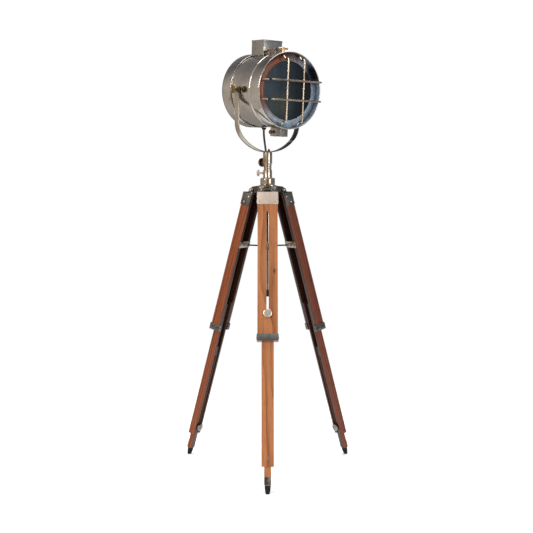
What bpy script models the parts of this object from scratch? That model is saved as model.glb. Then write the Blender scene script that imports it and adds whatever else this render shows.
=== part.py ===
"""Tripod floor lamp: a searchlight head in a yoke on a telescopic centre post, over three folding wooden legs.

Metres, +Z up. X runs to the lamp's right, -Y to its front leg. The floor is z = 0. Each leg has its own frame at
its hinge: x outward, y across, z up along the leg. The head has its own frame at the tilt axis: x forward along
the drum, y along the pivots, z up.
"""

import math

import bmesh
import bpy
from mathutils import Matrix, Vector

# Driving dimensions
GAP = 0.0003
COLUMN_Y = 0.0858
LEG_TILT = math.radians(16.21)
HINGE_RADIUS = 0.0608
HINGE_HEIGHT = 1.034
TILT_HEIGHT = 1.3952
HEAD_YAW = math.radians(-54.34)
HEAD_PITCH = math.radians(3.75)
LEG_AZIMUTHS = {"front": -90.0, "left": 150.0, "right": 30.0}

# Legs: distances along a leg are counted down from its hinge
UPPER_WIDTH, UPPER_IN, UPPER_OUT = 0.072, -0.0195, 0.0175
UPPER_TOP, UPPER_END = 0.0125, 0.5508
CHANNEL_WIDTH, CHANNEL_FLOOR = 0.044, 0.0093
SLOT_WIDTH, SLOT_TOP, CLAMP_AT = 0.008, 0.0843, 0.454
MIDDLE_WIDTH, MIDDLE_IN, MIDDLE_OUT = 0.043, -0.0190, 0.0090
MIDDLE_TOP, MIDDLE_END = 0.442, 0.984
GROOVE_WIDTH, GROOVE_FLOOR = 0.0246, 0.0045
LOWER_WIDTH, LOWER_IN, LOWER_OUT = 0.0240, -0.0150, 0.0041
LOWER_TOP, LOWER_END = 0.620, 1.0465
LOWER_SLOT_WIDTH, LOWER_SLOT = 0.0072, (0.655, 0.968)
FOOT_BOLT_AT = 0.955
FERRULE_HEIGHT, FERRULE_WALL = 0.025, 0.0024
CAP_WALL, CAP_TOP, CAP_END = 0.0016, 0.0108, 0.0574
HINGE_PIN = 0.0030
EAR_INNER, EAR_OUTER = 0.0146, 0.0186

# Brace
BRACE_AT, BRACE_X = 0.206, -0.0265
HUB_PIVOT_RADIUS, HUB_HEIGHT, HUB_RADIUS = 0.0335, 0.015, 0.0166
EAR_GAP, EAR_THICK = 0.0042, 0.0020
ROD_RADIUS = 0.0028

# Column, post and yoke
TUBE_RADIUS, TUBE_BORE, TUBE_END = 0.0135, 0.0116, 0.6670
POST_RADIUS, POST_BORE, POST_END = 0.0112, 0.0070, 0.7200
CUP_RADIUS, CUP_TOP, CUP_END = 0.0335, 1.0527, 1.0270
SLEEVE_RADIUS, SLEEVE_TOP, COLLAR_RADIUS, COLLAR_TOP = 0.0165, 1.1070, 0.0270, 1.0790
RING_RADIUS, RING_TOP = 0.0145, 1.1270
SOCKET_RADIUS, SOCKET_TOP, SPIGOT_RADIUS = 0.0170, 1.1722, 0.0125
YOKE_FOOT, YOKE_WIDTH, YOKE_THICK = 1.1737, 0.0270, 0.0030
HOOP_RADIUS, BEND_RADIUS, PIVOT_SPAN, TRUNNION_END = 0.1570, 0.0830, 0.1352, 0.1330
HEIGHT_SCREW_AT, PAN_KNOB_AT, PAN_KNOB_DIRECTION = 1.0966, 1.1358, math.radians(130.5)
LEAD_RADIUS, LEAD_HOLE_U, CABLE_NUT_U = 0.00375, -0.0070, 0.0060

# Head: places along the drum are counted forward from the tilt axis
DRUM_STEPS = 40
BODY_RADIUS, BODY_WALL, BODY_REAR, BODY_FRONT = 0.1312, 0.0012, -0.0580, 0.0920
BEAD_FROM, BEAD_TO, BEAD_RADIUS = 0.0600, 0.0760, 0.1344
COVER_RADIUS, COVER_REAR, COVER_FRONT = 0.1338, -0.1000, -0.0450
HOOD_RADIUS, HOOD_REAR, HOOD_FRONT, HOOD_WALL = 0.1354, 0.0800, 0.1380, 0.0014
LENS_RADIUS, LENS_REAR, LENS_EDGE, LENS_DOME = 0.1075, 0.1180, 0.1212, 0.0085
CAGE_PLANE, CAGE_END, CAGE_WIRE = 0.1720, 0.1200, 0.0033
CAGE_ROWS, ROW_REACH = (-0.0340, 0.0340), (-0.0950, 0.1080)
CAGE_COLUMNS, COLUMN_REACH = (-0.0335, 0.0372), (-0.1035, 0.1030)
VENT_LENGTH, VENT_WIDTH, VENT_TOP, VENT_CENTRE = 0.0770, 0.0830, 0.1807, -0.0150
SWITCH_REAR, SWITCH_FRONT, SWITCH_WIDTH, SWITCH_BOTTOM = 0.0480, 0.1120, 0.0320, -0.1630
GLAND_AT, GLAND_RADIUS, GLAND_BOTTOM = -0.0145, 0.0080, -0.1420
HOOD_SCREW_AT, HOOD_SCREW_U = 0.0430, 0.0320
TILT_KNOB_RADIUS, KNOB_RADIUS = 0.0160, 0.0160

FINISHES = {
    "nickel": ((0.62, 0.58, 0.54), 0.12, 1.0),
    "satin_nickel": ((0.70, 0.65, 0.59), 0.32, 1.0),
    "bronze": ((0.32, 0.23, 0.13), 0.30, 1.0),
    "wood": ((0.40, 0.17, 0.07), 0.42, 0.0),
    "rubber": ((0.012, 0.012, 0.013), 0.70, 0.0),
    "glass": ((0.03, 0.04, 0.05), 0.08, 0.0),
    "bulb": ((0.85, 0.83, 0.78), 0.20, 0.0),
    "cable": ((0.02, 0.022, 0.024), 0.50, 0.0),
}

for old in list(bpy.data.objects):
    bpy.data.objects.remove(old, do_unlink=True)
lamp = bpy.data.collections.new("tripod_floor_lamp")
cutters = bpy.data.collections.new("cutters")
for collection in (lamp, cutters):
    bpy.context.scene.collection.children.link(collection)


def make_finish(name, colour, roughness, metallic):
    material = bpy.data.materials.new(name)
    material.use_nodes = True
    shader = material.node_tree.nodes["Principled BSDF"]
    shader.inputs["Base Color"].default_value = (*colour, 1.0)
    shader.inputs["Roughness"].default_value = roughness
    shader.inputs["Metallic"].default_value = metallic
    return material


finishes = {name: make_finish(name, *values) for name, values in FINISHES.items()}


# Frames and objects
def frame(name, parent=None, location=(0, 0, 0), rotation=(0, 0, 0)):
    """An empty that carries the pieces of one moving group."""
    empty = bpy.data.objects.new(name, None)
    lamp.objects.link(empty)
    empty.parent = parent
    empty.location = location
    empty.rotation_euler = rotation
    return empty


def place(name, mesh, finish, parent, location=(0, 0, 0), rotation=(0, 0, 0)):
    """A named piece, or a hidden cutter where finish is None."""
    piece = bpy.data.objects.new(name, mesh)
    piece.parent = parent
    piece.location = location
    piece.rotation_euler = rotation
    if finish is None:
        cutters.objects.link(piece)
        piece.hide_render = True
        piece.display_type = "WIRE"
    else:
        lamp.objects.link(piece)
        mesh.materials.append(finishes[finish])
    return piece


def combine(piece, operation, *tools):
    """Cut the tools from a piece, or join them to it."""
    for tool in tools:
        modifier = piece.modifiers.new(operation.lower(), "BOOLEAN")
        modifier.operation = operation
        modifier.solver = "EXACT"
        modifier.object = tool


def round_edges(piece, width, segments=2, angle=40):
    bevel = piece.modifiers.new("rounded edges", "BEVEL")
    bevel.width = width
    bevel.segments = segments
    bevel.limit_method = "ANGLE"
    bevel.angle_limit = math.radians(angle)


# Shapes
def box_mesh(low, high):
    low, high = Vector(low), Vector(high)
    shape = bmesh.new()
    bmesh.ops.create_cube(shape, size=1.0)
    bmesh.ops.scale(shape, vec=high - low, verts=shape.verts)
    bmesh.ops.translate(shape, vec=(low + high) / 2, verts=shape.verts)
    return finished(shape, "box")


def bar_mesh(start, end, radius, sides=24):
    """A round bar between two points."""
    start, end = Vector(start), Vector(end)
    along = end - start
    shape = bmesh.new()
    bmesh.ops.create_cone(
        shape, cap_ends=True, segments=sides, radius1=radius, radius2=radius, depth=along.length
    )
    turn = Vector((0, 0, 1)).rotation_difference(along).to_matrix().to_4x4()
    bmesh.ops.transform(shape, matrix=Matrix.Translation((start + end) / 2) @ turn, verts=shape.verts)
    return finished(shape, "bar")


def finished(shape, name):
    mesh = bpy.data.meshes.new(name)
    shape.to_mesh(mesh)
    shape.free()
    mesh.shade_smooth()
    mesh.set_sharp_from_angle(angle=math.radians(35))
    return mesh


def curve_mesh(curve):
    """A curve as a closed mesh, with its caps welded on."""
    holder = bpy.data.objects.new("outline", curve)
    bpy.context.scene.collection.objects.link(holder)
    graph = bpy.context.evaluated_depsgraph_get()
    mesh = bpy.data.meshes.new_from_object(holder.evaluated_get(graph))
    bpy.data.objects.remove(holder)
    shape = bmesh.new()
    shape.from_mesh(mesh)
    bmesh.ops.remove_doubles(shape, verts=shape.verts, dist=0.00001)
    bmesh.ops.recalc_face_normals(shape, faces=shape.faces)
    bpy.data.meshes.remove(mesh)
    return finished(shape, "extrusion")


def prism_mesh(outline, depth, turn=Matrix()):
    """A flat outline in x and y, thickened by depth about z = 0, then turned."""
    curve = bpy.data.curves.new("outline", "CURVE")
    curve.dimensions = "2D"
    curve.fill_mode = "BOTH"
    curve.extrude = depth / 2
    spline = curve.splines.new("POLY")
    spline.points.add(len(outline) - 1)
    for point, (x, y) in zip(spline.points, outline):
        point.co = (x, y, 0, 1)
    spline.use_cyclic_u = True
    mesh = curve_mesh(curve)
    mesh.transform(turn)
    return mesh


def wire_curve(points, radius, resolution=1):
    """A round wire through a list of points."""
    curve = bpy.data.curves.new("wire", "CURVE")
    curve.dimensions = "3D"
    curve.bevel_depth = radius
    curve.bevel_resolution = resolution
    curve.use_fill_caps = True
    spline = curve.splines.new("POLY")
    spline.points.add(len(points) - 1)
    for point, place_at in zip(spline.points, points):
        point.co = (*place_at, 1)
    return curve


def turned(name, profile, finish, parent, location=(0, 0, 0), rotation=(0, 0, 0), steps=20, closed=True):
    """A turned piece: the profile of (radius, height) runs down its outer side."""
    shape = bmesh.new()
    corners = [shape.verts.new((radius, 0, height)) for radius, height in profile]
    for first, second in zip(corners, corners[1:]):
        shape.edges.new((first, second))
    if closed:
        shape.edges.new((corners[-1], corners[0]))
    piece = place(name, finished(shape, "profile"), finish, parent, location, rotation)
    screw = piece.modifiers.new("turned", "SCREW")
    screw.axis = "Z"
    screw.steps = steps
    screw.render_steps = steps
    screw.use_merge_vertices = True
    screw.merge_threshold = 0.00001
    screw.use_smooth_shade = True
    return piece


def arc(centre, radius, start, end, steps):
    """Points on an arc, with its angles in degrees."""
    angles = [math.radians(start + (end - start) * i / steps) for i in range(steps + 1)]
    return [(centre[0] + radius * math.cos(a), centre[1] + radius * math.sin(a)) for a in angles]


def capsule(low, high, width):
    """The outline of a round-ended slot along x."""
    half = width / 2
    return arc((high - half, 0), half, -90, 90, 6) + arc((low + half, 0), half, 90, 270, 6)


def cutter(name, mesh, parent, location=(0, 0, 0), rotation=(0, 0, 0)):
    return place(name, mesh, None, parent, location, rotation)


ALONG_LEG = Matrix.Rotation(math.radians(90), 4, "Y")
FACING_ACROSS = Matrix.Rotation(math.radians(90), 4, "X")
ALONG_DRUM = (0, math.radians(90), 0)


def down(x, y, distance):
    """A point of a leg's frame at a distance below the hinge."""
    return (x, y, -distance)


# One leg
def leg_cap(name, leg):
    outside = UPPER_WIDTH / 2 + GAP + CAP_WALL
    front = UPPER_OUT + GAP
    cap = place(
        "leg_cap_" + name,
        box_mesh(down(UPPER_IN + 0.001, -outside, CAP_END), down(front + CAP_WALL, outside, CAP_TOP)),
        "satin_nickel", leg,
    )
    inside = UPPER_WIDTH / 2 + GAP
    room = box_mesh(down(-0.05, -inside, 0.08), down(front, inside, CAP_TOP + CAP_WALL - 0.0002))
    combine(cap, "DIFFERENCE", cutter("cap_room", room, leg))
    ear = [(-0.0105, -CAP_TOP - 0.0006)] + arc((0, 0), 0.0085, 200, -20, 8) + [(0.0105, -CAP_TOP - 0.0006)]
    middle = (EAR_INNER + EAR_OUTER) / 2
    for side in (-1, 1):
        mesh = prism_mesh(ear, EAR_OUTER - EAR_INNER, FACING_ACROSS)
        combine(cap, "UNION", cutter("cap_ear", mesh, leg, (0, side * middle, 0)))
    pin_room = bar_mesh((0, -0.03, 0), (0, 0.03, 0), HINGE_PIN + GAP, 16)
    combine(cap, "DIFFERENCE", cutter("ear_bore", pin_room, leg))


def hinge_bolt(name, leg):
    bolt = place("hinge_bolt_" + name, bar_mesh((0, -0.024, 0), (0, 0.024, 0), HINGE_PIN, 16), "nickel", leg)
    for side in (-1, 1):
        start = side * (EAR_OUTER + GAP)
        head = bar_mesh((0, start, 0), (0, start + side * 0.0065, 0), 0.0058, 6 if side > 0 else 16)
        combine(bolt, "UNION", cutter("bolt_head", head, leg))


def upper_leg(name, leg):
    half, groove = UPPER_WIDTH / 2, CHANNEL_WIDTH / 2
    outline = [
        (UPPER_OUT, -half), (UPPER_OUT, half), (UPPER_IN, half), (UPPER_IN, groove),
        (CHANNEL_FLOOR, groove), (CHANNEL_FLOOR, -groove), (UPPER_IN, -groove), (UPPER_IN, -half),
    ]
    centre = (UPPER_TOP + UPPER_END) / 2
    upper = place("upper_leg_" + name, prism_mesh(outline, UPPER_END - UPPER_TOP), "wood", leg, down(0, 0, centre))
    round_edges(upper, 0.0012, 1, 60)
    slot = prism_mesh(capsule(SLOT_TOP, CLAMP_AT + SLOT_WIDTH / 2, SLOT_WIDTH), 0.03, ALONG_LEG)
    combine(upper, "DIFFERENCE", cutter("leg_slot", slot, leg, (UPPER_OUT, 0, 0)))


def upper_ferrule(name, leg):
    half = UPPER_WIDTH / 2 + GAP
    low, high = UPPER_IN - GAP, UPPER_OUT + GAP
    wall, tab = FERRULE_WALL, CHANNEL_WIDTH / 2 + 0.001
    outline = [
        (high + wall, -half - wall), (high + wall, half + wall), (low - wall, half + wall), (low - wall, tab),
        (low, tab), (low, half), (high, half), (high, -half),
        (low, -half), (low, -tab), (low - wall, -tab), (low - wall, -half - wall),
    ]
    centre = UPPER_END + 0.0005 - FERRULE_HEIGHT / 2
    place("upper_ferrule_" + name, prism_mesh(outline, FERRULE_HEIGHT), "nickel", leg, down(0, 0, centre))


def brace_clip(name, leg):
    back = UPPER_IN - GAP
    plate = box_mesh(down(back - 0.0017, -0.0355, BRACE_AT + 0.012), down(back, 0.0355, BRACE_AT - 0.012))
    clip = place("brace_clip_" + name, plate, "nickel", leg)
    for side in (-1, 1):
        near, far = side * EAR_GAP, side * (EAR_GAP + EAR_THICK)
        ear = box_mesh(
            down(BRACE_X - 0.0045, min(near, far), BRACE_AT + 0.0055),
            down(back - 0.0005, max(near, far), BRACE_AT - 0.0055),
        )
        combine(clip, "UNION", cutter("clip_ear", ear, leg))
    pin_room = bar_mesh(down(BRACE_X, -0.01, BRACE_AT), down(BRACE_X, 0.01, BRACE_AT), 0.0018, 16)
    combine(clip, "DIFFERENCE", cutter("clip_bore", pin_room, leg))


def clip_place():
    """Radius and height of a brace pivot on an open leg."""
    radius = HINGE_RADIUS + BRACE_X * math.cos(LEG_TILT) + BRACE_AT * math.sin(LEG_TILT)
    height = HINGE_HEIGHT + BRACE_X * math.sin(LEG_TILT) - BRACE_AT * math.cos(LEG_TILT)
    return radius, height


def brace_arm(name, leg):
    length = clip_place()[0] - HUB_PIVOT_RADIUS
    pivot = frame("brace_pivot_" + name, leg, down(BRACE_X, 0, BRACE_AT), (0, LEG_TILT, 0))
    arm = place("brace_arm_" + name, bar_mesh((-length, 0, 0), (0, 0, 0), ROD_RADIUS, 12), "nickel", pivot)
    eyes = [
        bar_mesh((-length, -0.0033, 0), (-length, 0.0033, 0), 0.0034, 16),
        bar_mesh((0, -0.0035, 0), (0, 0.0035, 0), 0.0038, 16),
        bar_mesh((0, -EAR_GAP - EAR_THICK - 0.0005, 0), (0, EAR_GAP + EAR_THICK + 0.0005, 0), 0.0014, 12),
    ]
    combine(arm, "UNION", *(cutter("arm_eye", eye, pivot) for eye in eyes))


def middle_leg(name, leg):
    half, groove = MIDDLE_WIDTH / 2, GROOVE_WIDTH / 2
    outline = [
        (MIDDLE_OUT, -half), (MIDDLE_OUT, half), (MIDDLE_IN, half), (MIDDLE_IN, groove),
        (GROOVE_FLOOR, groove), (GROOVE_FLOOR, -groove), (MIDDLE_IN, -groove), (MIDDLE_IN, -half),
    ]
    centre = (MIDDLE_TOP + MIDDLE_END) / 2
    mesh = prism_mesh(outline, MIDDLE_END - MIDDLE_TOP)
    middle = place("middle_leg_" + name, mesh, "wood", leg, down(0, 0, centre))
    round_edges(middle, 0.0010, 1, 60)
    bore = bar_mesh(down(-0.03, 0, FOOT_BOLT_AT), down(0.03, 0, FOOT_BOLT_AT), 0.0033, 16)
    combine(middle, "DIFFERENCE", cutter("foot_bolt_bore", bore, leg))


def clamp_knob(name, leg):
    pivot = frame("clamp_axis_" + name, leg, down(0, 0, CLAMP_AT), ALONG_DRUM)
    face = UPPER_OUT + 2 * GAP
    profile = [
        (0, face + 0.0072), (0.0140, face + 0.0072), (0.0158, face + 0.0054), (0.0158, face + 0.0012),
        (0.0146, face), (0.0034, face), (0.0034, MIDDLE_OUT + GAP), (0, MIDDLE_OUT + GAP),
    ]
    turned("clamp_knob_" + name, profile, "satin_nickel", pivot, steps=16, closed=False)


def foot_knob(name, leg):
    pivot = frame("foot_knob_axis_" + name, leg, down(0, 0, FOOT_BOLT_AT), ALONG_DRUM)
    head, face, back = MIDDLE_OUT + GAP, MIDDLE_IN - GAP, MIDDLE_IN - GAP - 0.0080
    profile = [
        (0, head + 0.0022), (0.0035, head + 0.0020), (0.0055, head), (0.0030, head), (0.0030, face),
        (0.0145, face), (KNOB_RADIUS, face - 0.0015), (KNOB_RADIUS, back + 0.0015), (0.0145, back), (0, back),
    ]
    turned("foot_knob_" + name, profile, "satin_nickel", pivot, steps=16, closed=False)


def lower_leg(name, leg):
    mesh = box_mesh(down(LOWER_IN, -LOWER_WIDTH / 2, LOWER_END), down(LOWER_OUT, LOWER_WIDTH / 2, LOWER_TOP))
    lower = place("lower_leg_" + name, mesh, "wood", leg)
    round_edges(lower, 0.0010, 1, 60)
    slot = prism_mesh(capsule(*LOWER_SLOT, LOWER_SLOT_WIDTH), 0.05, ALONG_LEG)
    combine(lower, "DIFFERENCE", cutter("lower_slot", slot, leg))


def foot_tip(name, leg, floor):
    top = -LOWER_END - GAP
    profile = [
        (0, top), (0.0100, top), (0.0108, top - 0.0010), (0.0106, top - 0.0090),
        (0.0092, top - 0.0180), (0.0056, top - 0.0300), (0, top - 0.0340),
    ]
    centre = (LOWER_IN + LOWER_OUT) / 2
    tip = turned("foot_tip_" + name, profile, "rubber", leg, (centre, 0, 0), steps=16, closed=False)
    combine(tip, "DIFFERENCE", floor)


def build_leg(name, azimuth, column, floor):
    turn = math.radians(azimuth)
    at = (HINGE_RADIUS * math.cos(turn), HINGE_RADIUS * math.sin(turn), HINGE_HEIGHT)
    leg = frame("leg_hinge_" + name, column, at, (0, -LEG_TILT, turn))
    for build in (leg_cap, hinge_bolt, upper_leg, upper_ferrule, brace_clip, brace_arm):
        build(name, leg)
    for build in (middle_leg, clamp_knob, foot_knob, lower_leg):
        build(name, leg)
    foot_tip(name, leg, floor)


# Tripod head and column
def tripod_spider(column):
    bore = TUBE_RADIUS + GAP
    profile = [
        (bore, CUP_TOP), (CUP_RADIUS - 0.003, CUP_TOP), (CUP_RADIUS, CUP_TOP - 0.003),
        (CUP_RADIUS, CUP_END + 0.002), (CUP_RADIUS - 0.002, CUP_END), (bore, CUP_END),
    ]
    spider = turned("tripod_spider", profile, "nickel", column, steps=24)
    outline = [(0.0220, 1.0265), (0.0220, 1.0515), (0.0560, 1.0475)]
    outline += arc((HINGE_RADIUS, HINGE_HEIGHT), 0.0090, 55, -90, 8) + [(0.0500, 1.0250)]
    for azimuth in LEG_AZIMUTHS.values():
        turn = (0, 0, math.radians(azimuth))
        arm = prism_mesh(outline, 2 * (EAR_INNER - GAP), FACING_ACROSS)
        combine(spider, "UNION", cutter("spider_arm", arm, column, rotation=turn))
        bolt = bar_mesh((HINGE_RADIUS, -0.03, HINGE_HEIGHT), (HINGE_RADIUS, 0.03, HINGE_HEIGHT), HINGE_PIN + GAP, 16)
        combine(spider, "DIFFERENCE", cutter("spider_bore", bolt, column, rotation=turn))


def height_collar(column):
    bore, foot = POST_RADIUS + GAP, CUP_TOP + GAP
    profile = [
        (bore, SLEEVE_TOP), (SLEEVE_RADIUS - 0.001, SLEEVE_TOP), (SLEEVE_RADIUS, SLEEVE_TOP - 0.001),
        (SLEEVE_RADIUS, COLLAR_TOP), (COLLAR_RADIUS - 0.006, COLLAR_TOP - 0.0005),
        (COLLAR_RADIUS - 0.0018, COLLAR_TOP - 0.0030), (COLLAR_RADIUS, COLLAR_TOP - 0.0075),
        (COLLAR_RADIUS, foot + 0.006), (COLLAR_RADIUS - 0.0015, foot + 0.0015), (COLLAR_RADIUS - 0.0035, foot),
        (bore, foot),
    ]
    turned("height_collar", profile, "nickel", column)


def column_tube(column):
    top = CUP_TOP
    profile = [(TUBE_BORE, top), (TUBE_RADIUS, top), (TUBE_RADIUS, TUBE_END), (TUBE_BORE, TUBE_END)]
    turned("column_tube", profile, "nickel", column)


def column_plug(column):
    """The end plug, with the hole that a mains lead would leave by."""
    top, bottom, bore = TUBE_END - GAP, TUBE_END - 0.026, 0.0042
    profile = [
        (bore, top + 0.012), (TUBE_BORE - GAP, top + 0.012), (TUBE_BORE - GAP, top), (TUBE_RADIUS, top),
        (TUBE_RADIUS, bottom + 0.002), (TUBE_RADIUS - 0.002, bottom), (bore, bottom),
    ]
    turned("column_plug", profile, "rubber", column)


def brace_hub(column):
    height = clip_place()[1]
    low, high, bore = height - HUB_HEIGHT / 2, height + HUB_HEIGHT / 2, TUBE_RADIUS + GAP
    hub = turned("brace_hub", [(bore, high), (HUB_RADIUS, high), (HUB_RADIUS, low), (bore, low)], "nickel", column)
    for azimuth in LEG_AZIMUTHS.values():
        turn = (0, 0, math.radians(azimuth))
        for side in (-1, 1):
            near, far = side * EAR_GAP, side * (EAR_GAP + EAR_THICK)
            ear = box_mesh((0.0148, min(near, far), low + 0.001),
                           (HUB_PIVOT_RADIUS + 0.0045, max(near, far), high - 0.001))
            combine(hub, "UNION", cutter("hub_ear", ear, column, rotation=turn))


def height_screw(column):
    """A thumbscrew in the clamp sleeve: an oval wing on a stem that points left."""
    axis = frame("height_screw_axis", column, (0, 0, HEIGHT_SCREW_AT), (0, 0, math.pi))
    start = SLEEVE_RADIUS + GAP
    screw = place("height_screw", bar_mesh((start, 0, 0), (0.034, 0, 0), 0.0033, 16), "nickel", axis)
    wing = [(0.0345 + 0.0062 * math.cos(a), 0.0123 * math.sin(a)) for a in
            (2 * math.pi * i / 24 for i in range(24))]
    blade = cutter("screw_wing", prism_mesh(wing, 0.0042, FACING_ACROSS), axis)
    boss = cutter("screw_boss", bar_mesh((start, 0, 0), (start + 0.004, 0, 0), 0.0048, 16), axis)
    combine(screw, "UNION", blade, boss)


# Post and yoke
def centre_post(column):
    """The sliding post: a tube, the grooved ring on it, and the spigot that the yoke's socket turns on."""
    ring_end = SLEEVE_TOP + GAP
    profile = [
        (POST_BORE, SOCKET_TOP - 0.012), (SPIGOT_RADIUS, SOCKET_TOP - 0.012), (SPIGOT_RADIUS, RING_TOP),
        (RING_RADIUS, RING_TOP),
    ]
    for groove in (RING_TOP - 0.0055, RING_TOP - 0.0120):
        profile += [(RING_RADIUS, groove), (RING_RADIUS - 0.001, groove - 0.0008),
                    (RING_RADIUS - 0.001, groove - 0.0018), (RING_RADIUS, groove - 0.0026)]
    profile += [(RING_RADIUS, ring_end), (POST_RADIUS, ring_end), (POST_RADIUS, POST_END), (POST_BORE, POST_END)]
    turned("centre_post", profile, "nickel", column)


def yoke_socket(yoke):
    bore, low = SPIGOT_RADIUS + GAP, RING_TOP + GAP
    profile = [
        (bore, SOCKET_TOP), (SOCKET_RADIUS, SOCKET_TOP), (SOCKET_RADIUS, low + 0.004),
        (SOCKET_RADIUS - 0.0012, low + 0.0032), (SOCKET_RADIUS - 0.0012, low + 0.0010),
        (SOCKET_RADIUS - 0.0020, low), (bore, low),
    ]
    turned("yoke_socket", profile, "nickel", yoke)


def strap_edge(offset):
    """One edge of the yoke strap in (u, z), offset outwards from its middle line, from the left tip to the right."""
    bend = PIVOT_SPAN - BEND_RADIUS
    turn = math.degrees(math.acos(bend / (HOOP_RADIUS - BEND_RADIUS)))
    centre = YOKE_FOOT + HOOP_RADIUS
    bend_centre = centre - math.sqrt((HOOP_RADIUS - BEND_RADIUS) ** 2 - bend**2)
    tip = TILT_HEIGHT + 0.0115
    edge = [(-PIVOT_SPAN - offset, tip)] + arc((-bend, bend_centre), BEND_RADIUS + offset, 180, 180 + turn, 8)
    edge += arc((0, centre), HOOP_RADIUS + offset, 180 + turn, 360 - turn, 16)[1:-1]
    return edge + arc((bend, bend_centre), BEND_RADIUS + offset, 360 - turn, 360, 8) + [(PIVOT_SPAN + offset, tip)]


def yoke_strap(yoke):
    """A flat strap bent into a U: a wide hoop at the foot, tighter bends, and straight arms to the pivots."""
    outline = strap_edge(YOKE_THICK / 2) + list(reversed(strap_edge(-YOKE_THICK / 2)))
    turn = Matrix.Rotation(math.radians(90), 4, "Z") @ Matrix.Rotation(math.radians(90), 4, "X")
    strap = place("yoke_strap", prism_mesh(outline, YOKE_WIDTH, turn), "nickel", yoke)
    stem_room = bar_mesh((0, -0.2, TILT_HEIGHT), (0, 0.2, TILT_HEIGHT), 0.0053, 16)
    foot = SOCKET_TOP
    lead_room = bar_mesh((0, LEAD_HOLE_U, foot - 0.01), (0, LEAD_HOLE_U, foot + 0.02), 0.0054, 16)
    combine(strap, "DIFFERENCE", cutter("pivot_bore", stem_room, yoke), cutter("lead_hole", lead_room, yoke))
    nut = bar_mesh((0, CABLE_NUT_U, foot + 0.0010), (0, CABLE_NUT_U, foot + 0.0090), 0.0050, 6)
    stud = bar_mesh((0, CABLE_NUT_U, foot + 0.0010), (0, CABLE_NUT_U, foot + 0.0130), 0.0028, 12)
    combine(strap, "UNION", cutter("cable_nut", nut, yoke), cutter("cable_stud", stud, yoke))


def knob_profile(radius, inner, outer, stem_radius, stem_end):
    """A disc knob whose face looks up the axis, on a stem that runs down from it."""
    return [
        (0, outer), (radius - 0.0018, outer), (radius, outer - 0.0018), (radius, inner + 0.0012),
        (radius - 0.0012, inner), (stem_radius, inner), (stem_radius, stem_end), (0, stem_end),
    ]


def pan_knob(yoke):
    heading = PAN_KNOB_DIRECTION - HEAD_YAW
    axis = frame("pan_knob_axis", yoke, (0, 0, PAN_KNOB_AT), (0, math.radians(90), heading))
    profile = knob_profile(0.0165, 0.0280, 0.0350, 0.0045, SOCKET_RADIUS + GAP)
    turned("pan_knob", profile, "bronze", axis, steps=16, closed=False)


def tilt_knobs(yoke):
    for name, side in (("left", -1), ("right", 1)):
        rotation = (math.radians(-90 * side), 0, 0)
        axis = frame("tilt_knob_axis_" + name, yoke, (0, 0, TILT_HEIGHT), rotation)
        profile = knob_profile(TILT_KNOB_RADIUS, PIVOT_SPAN + 0.0113, PIVOT_SPAN + 0.0183, 0.0048,
                               TRUNNION_END + GAP)
        turned("tilt_knob_" + name, profile, "bronze", axis, steps=16, closed=False)


def head_lead(yoke):
    """The lead from the drum's gland to the yoke's foot, on one smooth curve."""
    mouth_x = GLAND_AT * math.cos(HEAD_PITCH) + GLAND_BOTTOM * math.sin(HEAD_PITCH)
    mouth_z = TILT_HEIGHT - GLAND_AT * math.sin(HEAD_PITCH) + GLAND_BOTTOM * math.cos(HEAD_PITCH)
    out = Vector((-math.sin(HEAD_PITCH), 0, -math.cos(HEAD_PITCH)))
    start = Vector((mouth_x, 0, mouth_z)) + out * GAP
    end = Vector((0, LEAD_HOLE_U, SOCKET_TOP - 0.006))
    drop = (start.z - end.z) / 3
    first, second = start + out * drop, end + Vector((-0.002, -0.001, drop))
    points = []
    for i in range(17):
        t = i / 16
        s = 1 - t
        points.append(s**3 * start + 3 * s * s * t * first + 3 * s * t * t * second + t**3 * end)
    place("head_lead", wire_curve(points, LEAD_RADIUS), "cable", yoke)


# Head
def drum_shell(head):
    inner = BODY_RADIUS - BODY_WALL
    middle, half = (BEAD_FROM + BEAD_TO) / 2, (BEAD_TO - BEAD_FROM) / 2
    rise = BEAD_RADIUS - BODY_RADIUS
    bead = [(math.cos(a), math.sin(a)) for a in (math.pi * i / 4 for i in range(5))]
    profile = [(BODY_RADIUS, BODY_FRONT)]
    profile += [(BODY_RADIUS + rise * s, middle + half * c) for c, s in bead]
    profile += [(BODY_RADIUS, BODY_REAR), (inner, BODY_REAR)]
    profile += [(inner + rise * s, middle + (half - BODY_WALL) * c) for c, s in reversed(bead)]
    profile += [(inner, BODY_FRONT)]
    shell = turned("drum_shell", profile, "nickel", head, rotation=ALONG_DRUM, steps=DRUM_STEPS)
    for side in (-1, 1):
        boss = bar_mesh((0, side * (BODY_RADIUS - 0.001), 0), (0, side * TRUNNION_END, 0), 0.0090, 16)
        combine(shell, "UNION", cutter("trunnion", boss, head))


def rear_cover(head):
    wall, lip = 0.0014, BODY_RADIUS + 2 * GAP
    rim, back = COVER_RADIUS, COVER_REAR
    dish = back + 0.0045
    profile = [
        (0, dish + wall), (0.1120, dish + wall), (0.1180, back + wall), (rim - wall, back + wall),
        (rim - wall, COVER_FRONT - wall), (lip, COVER_FRONT - wall), (lip, COVER_FRONT),
        (rim - 0.0015, COVER_FRONT), (rim, COVER_FRONT - 0.0018),
        (rim, back + 0.0030), (rim - 0.0020, back), (0.1170, back), (0.1110, dish), (0, dish),
    ]
    turned("rear_cover", profile, "nickel", head, rotation=ALONG_DRUM, steps=DRUM_STEPS, closed=False)


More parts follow.
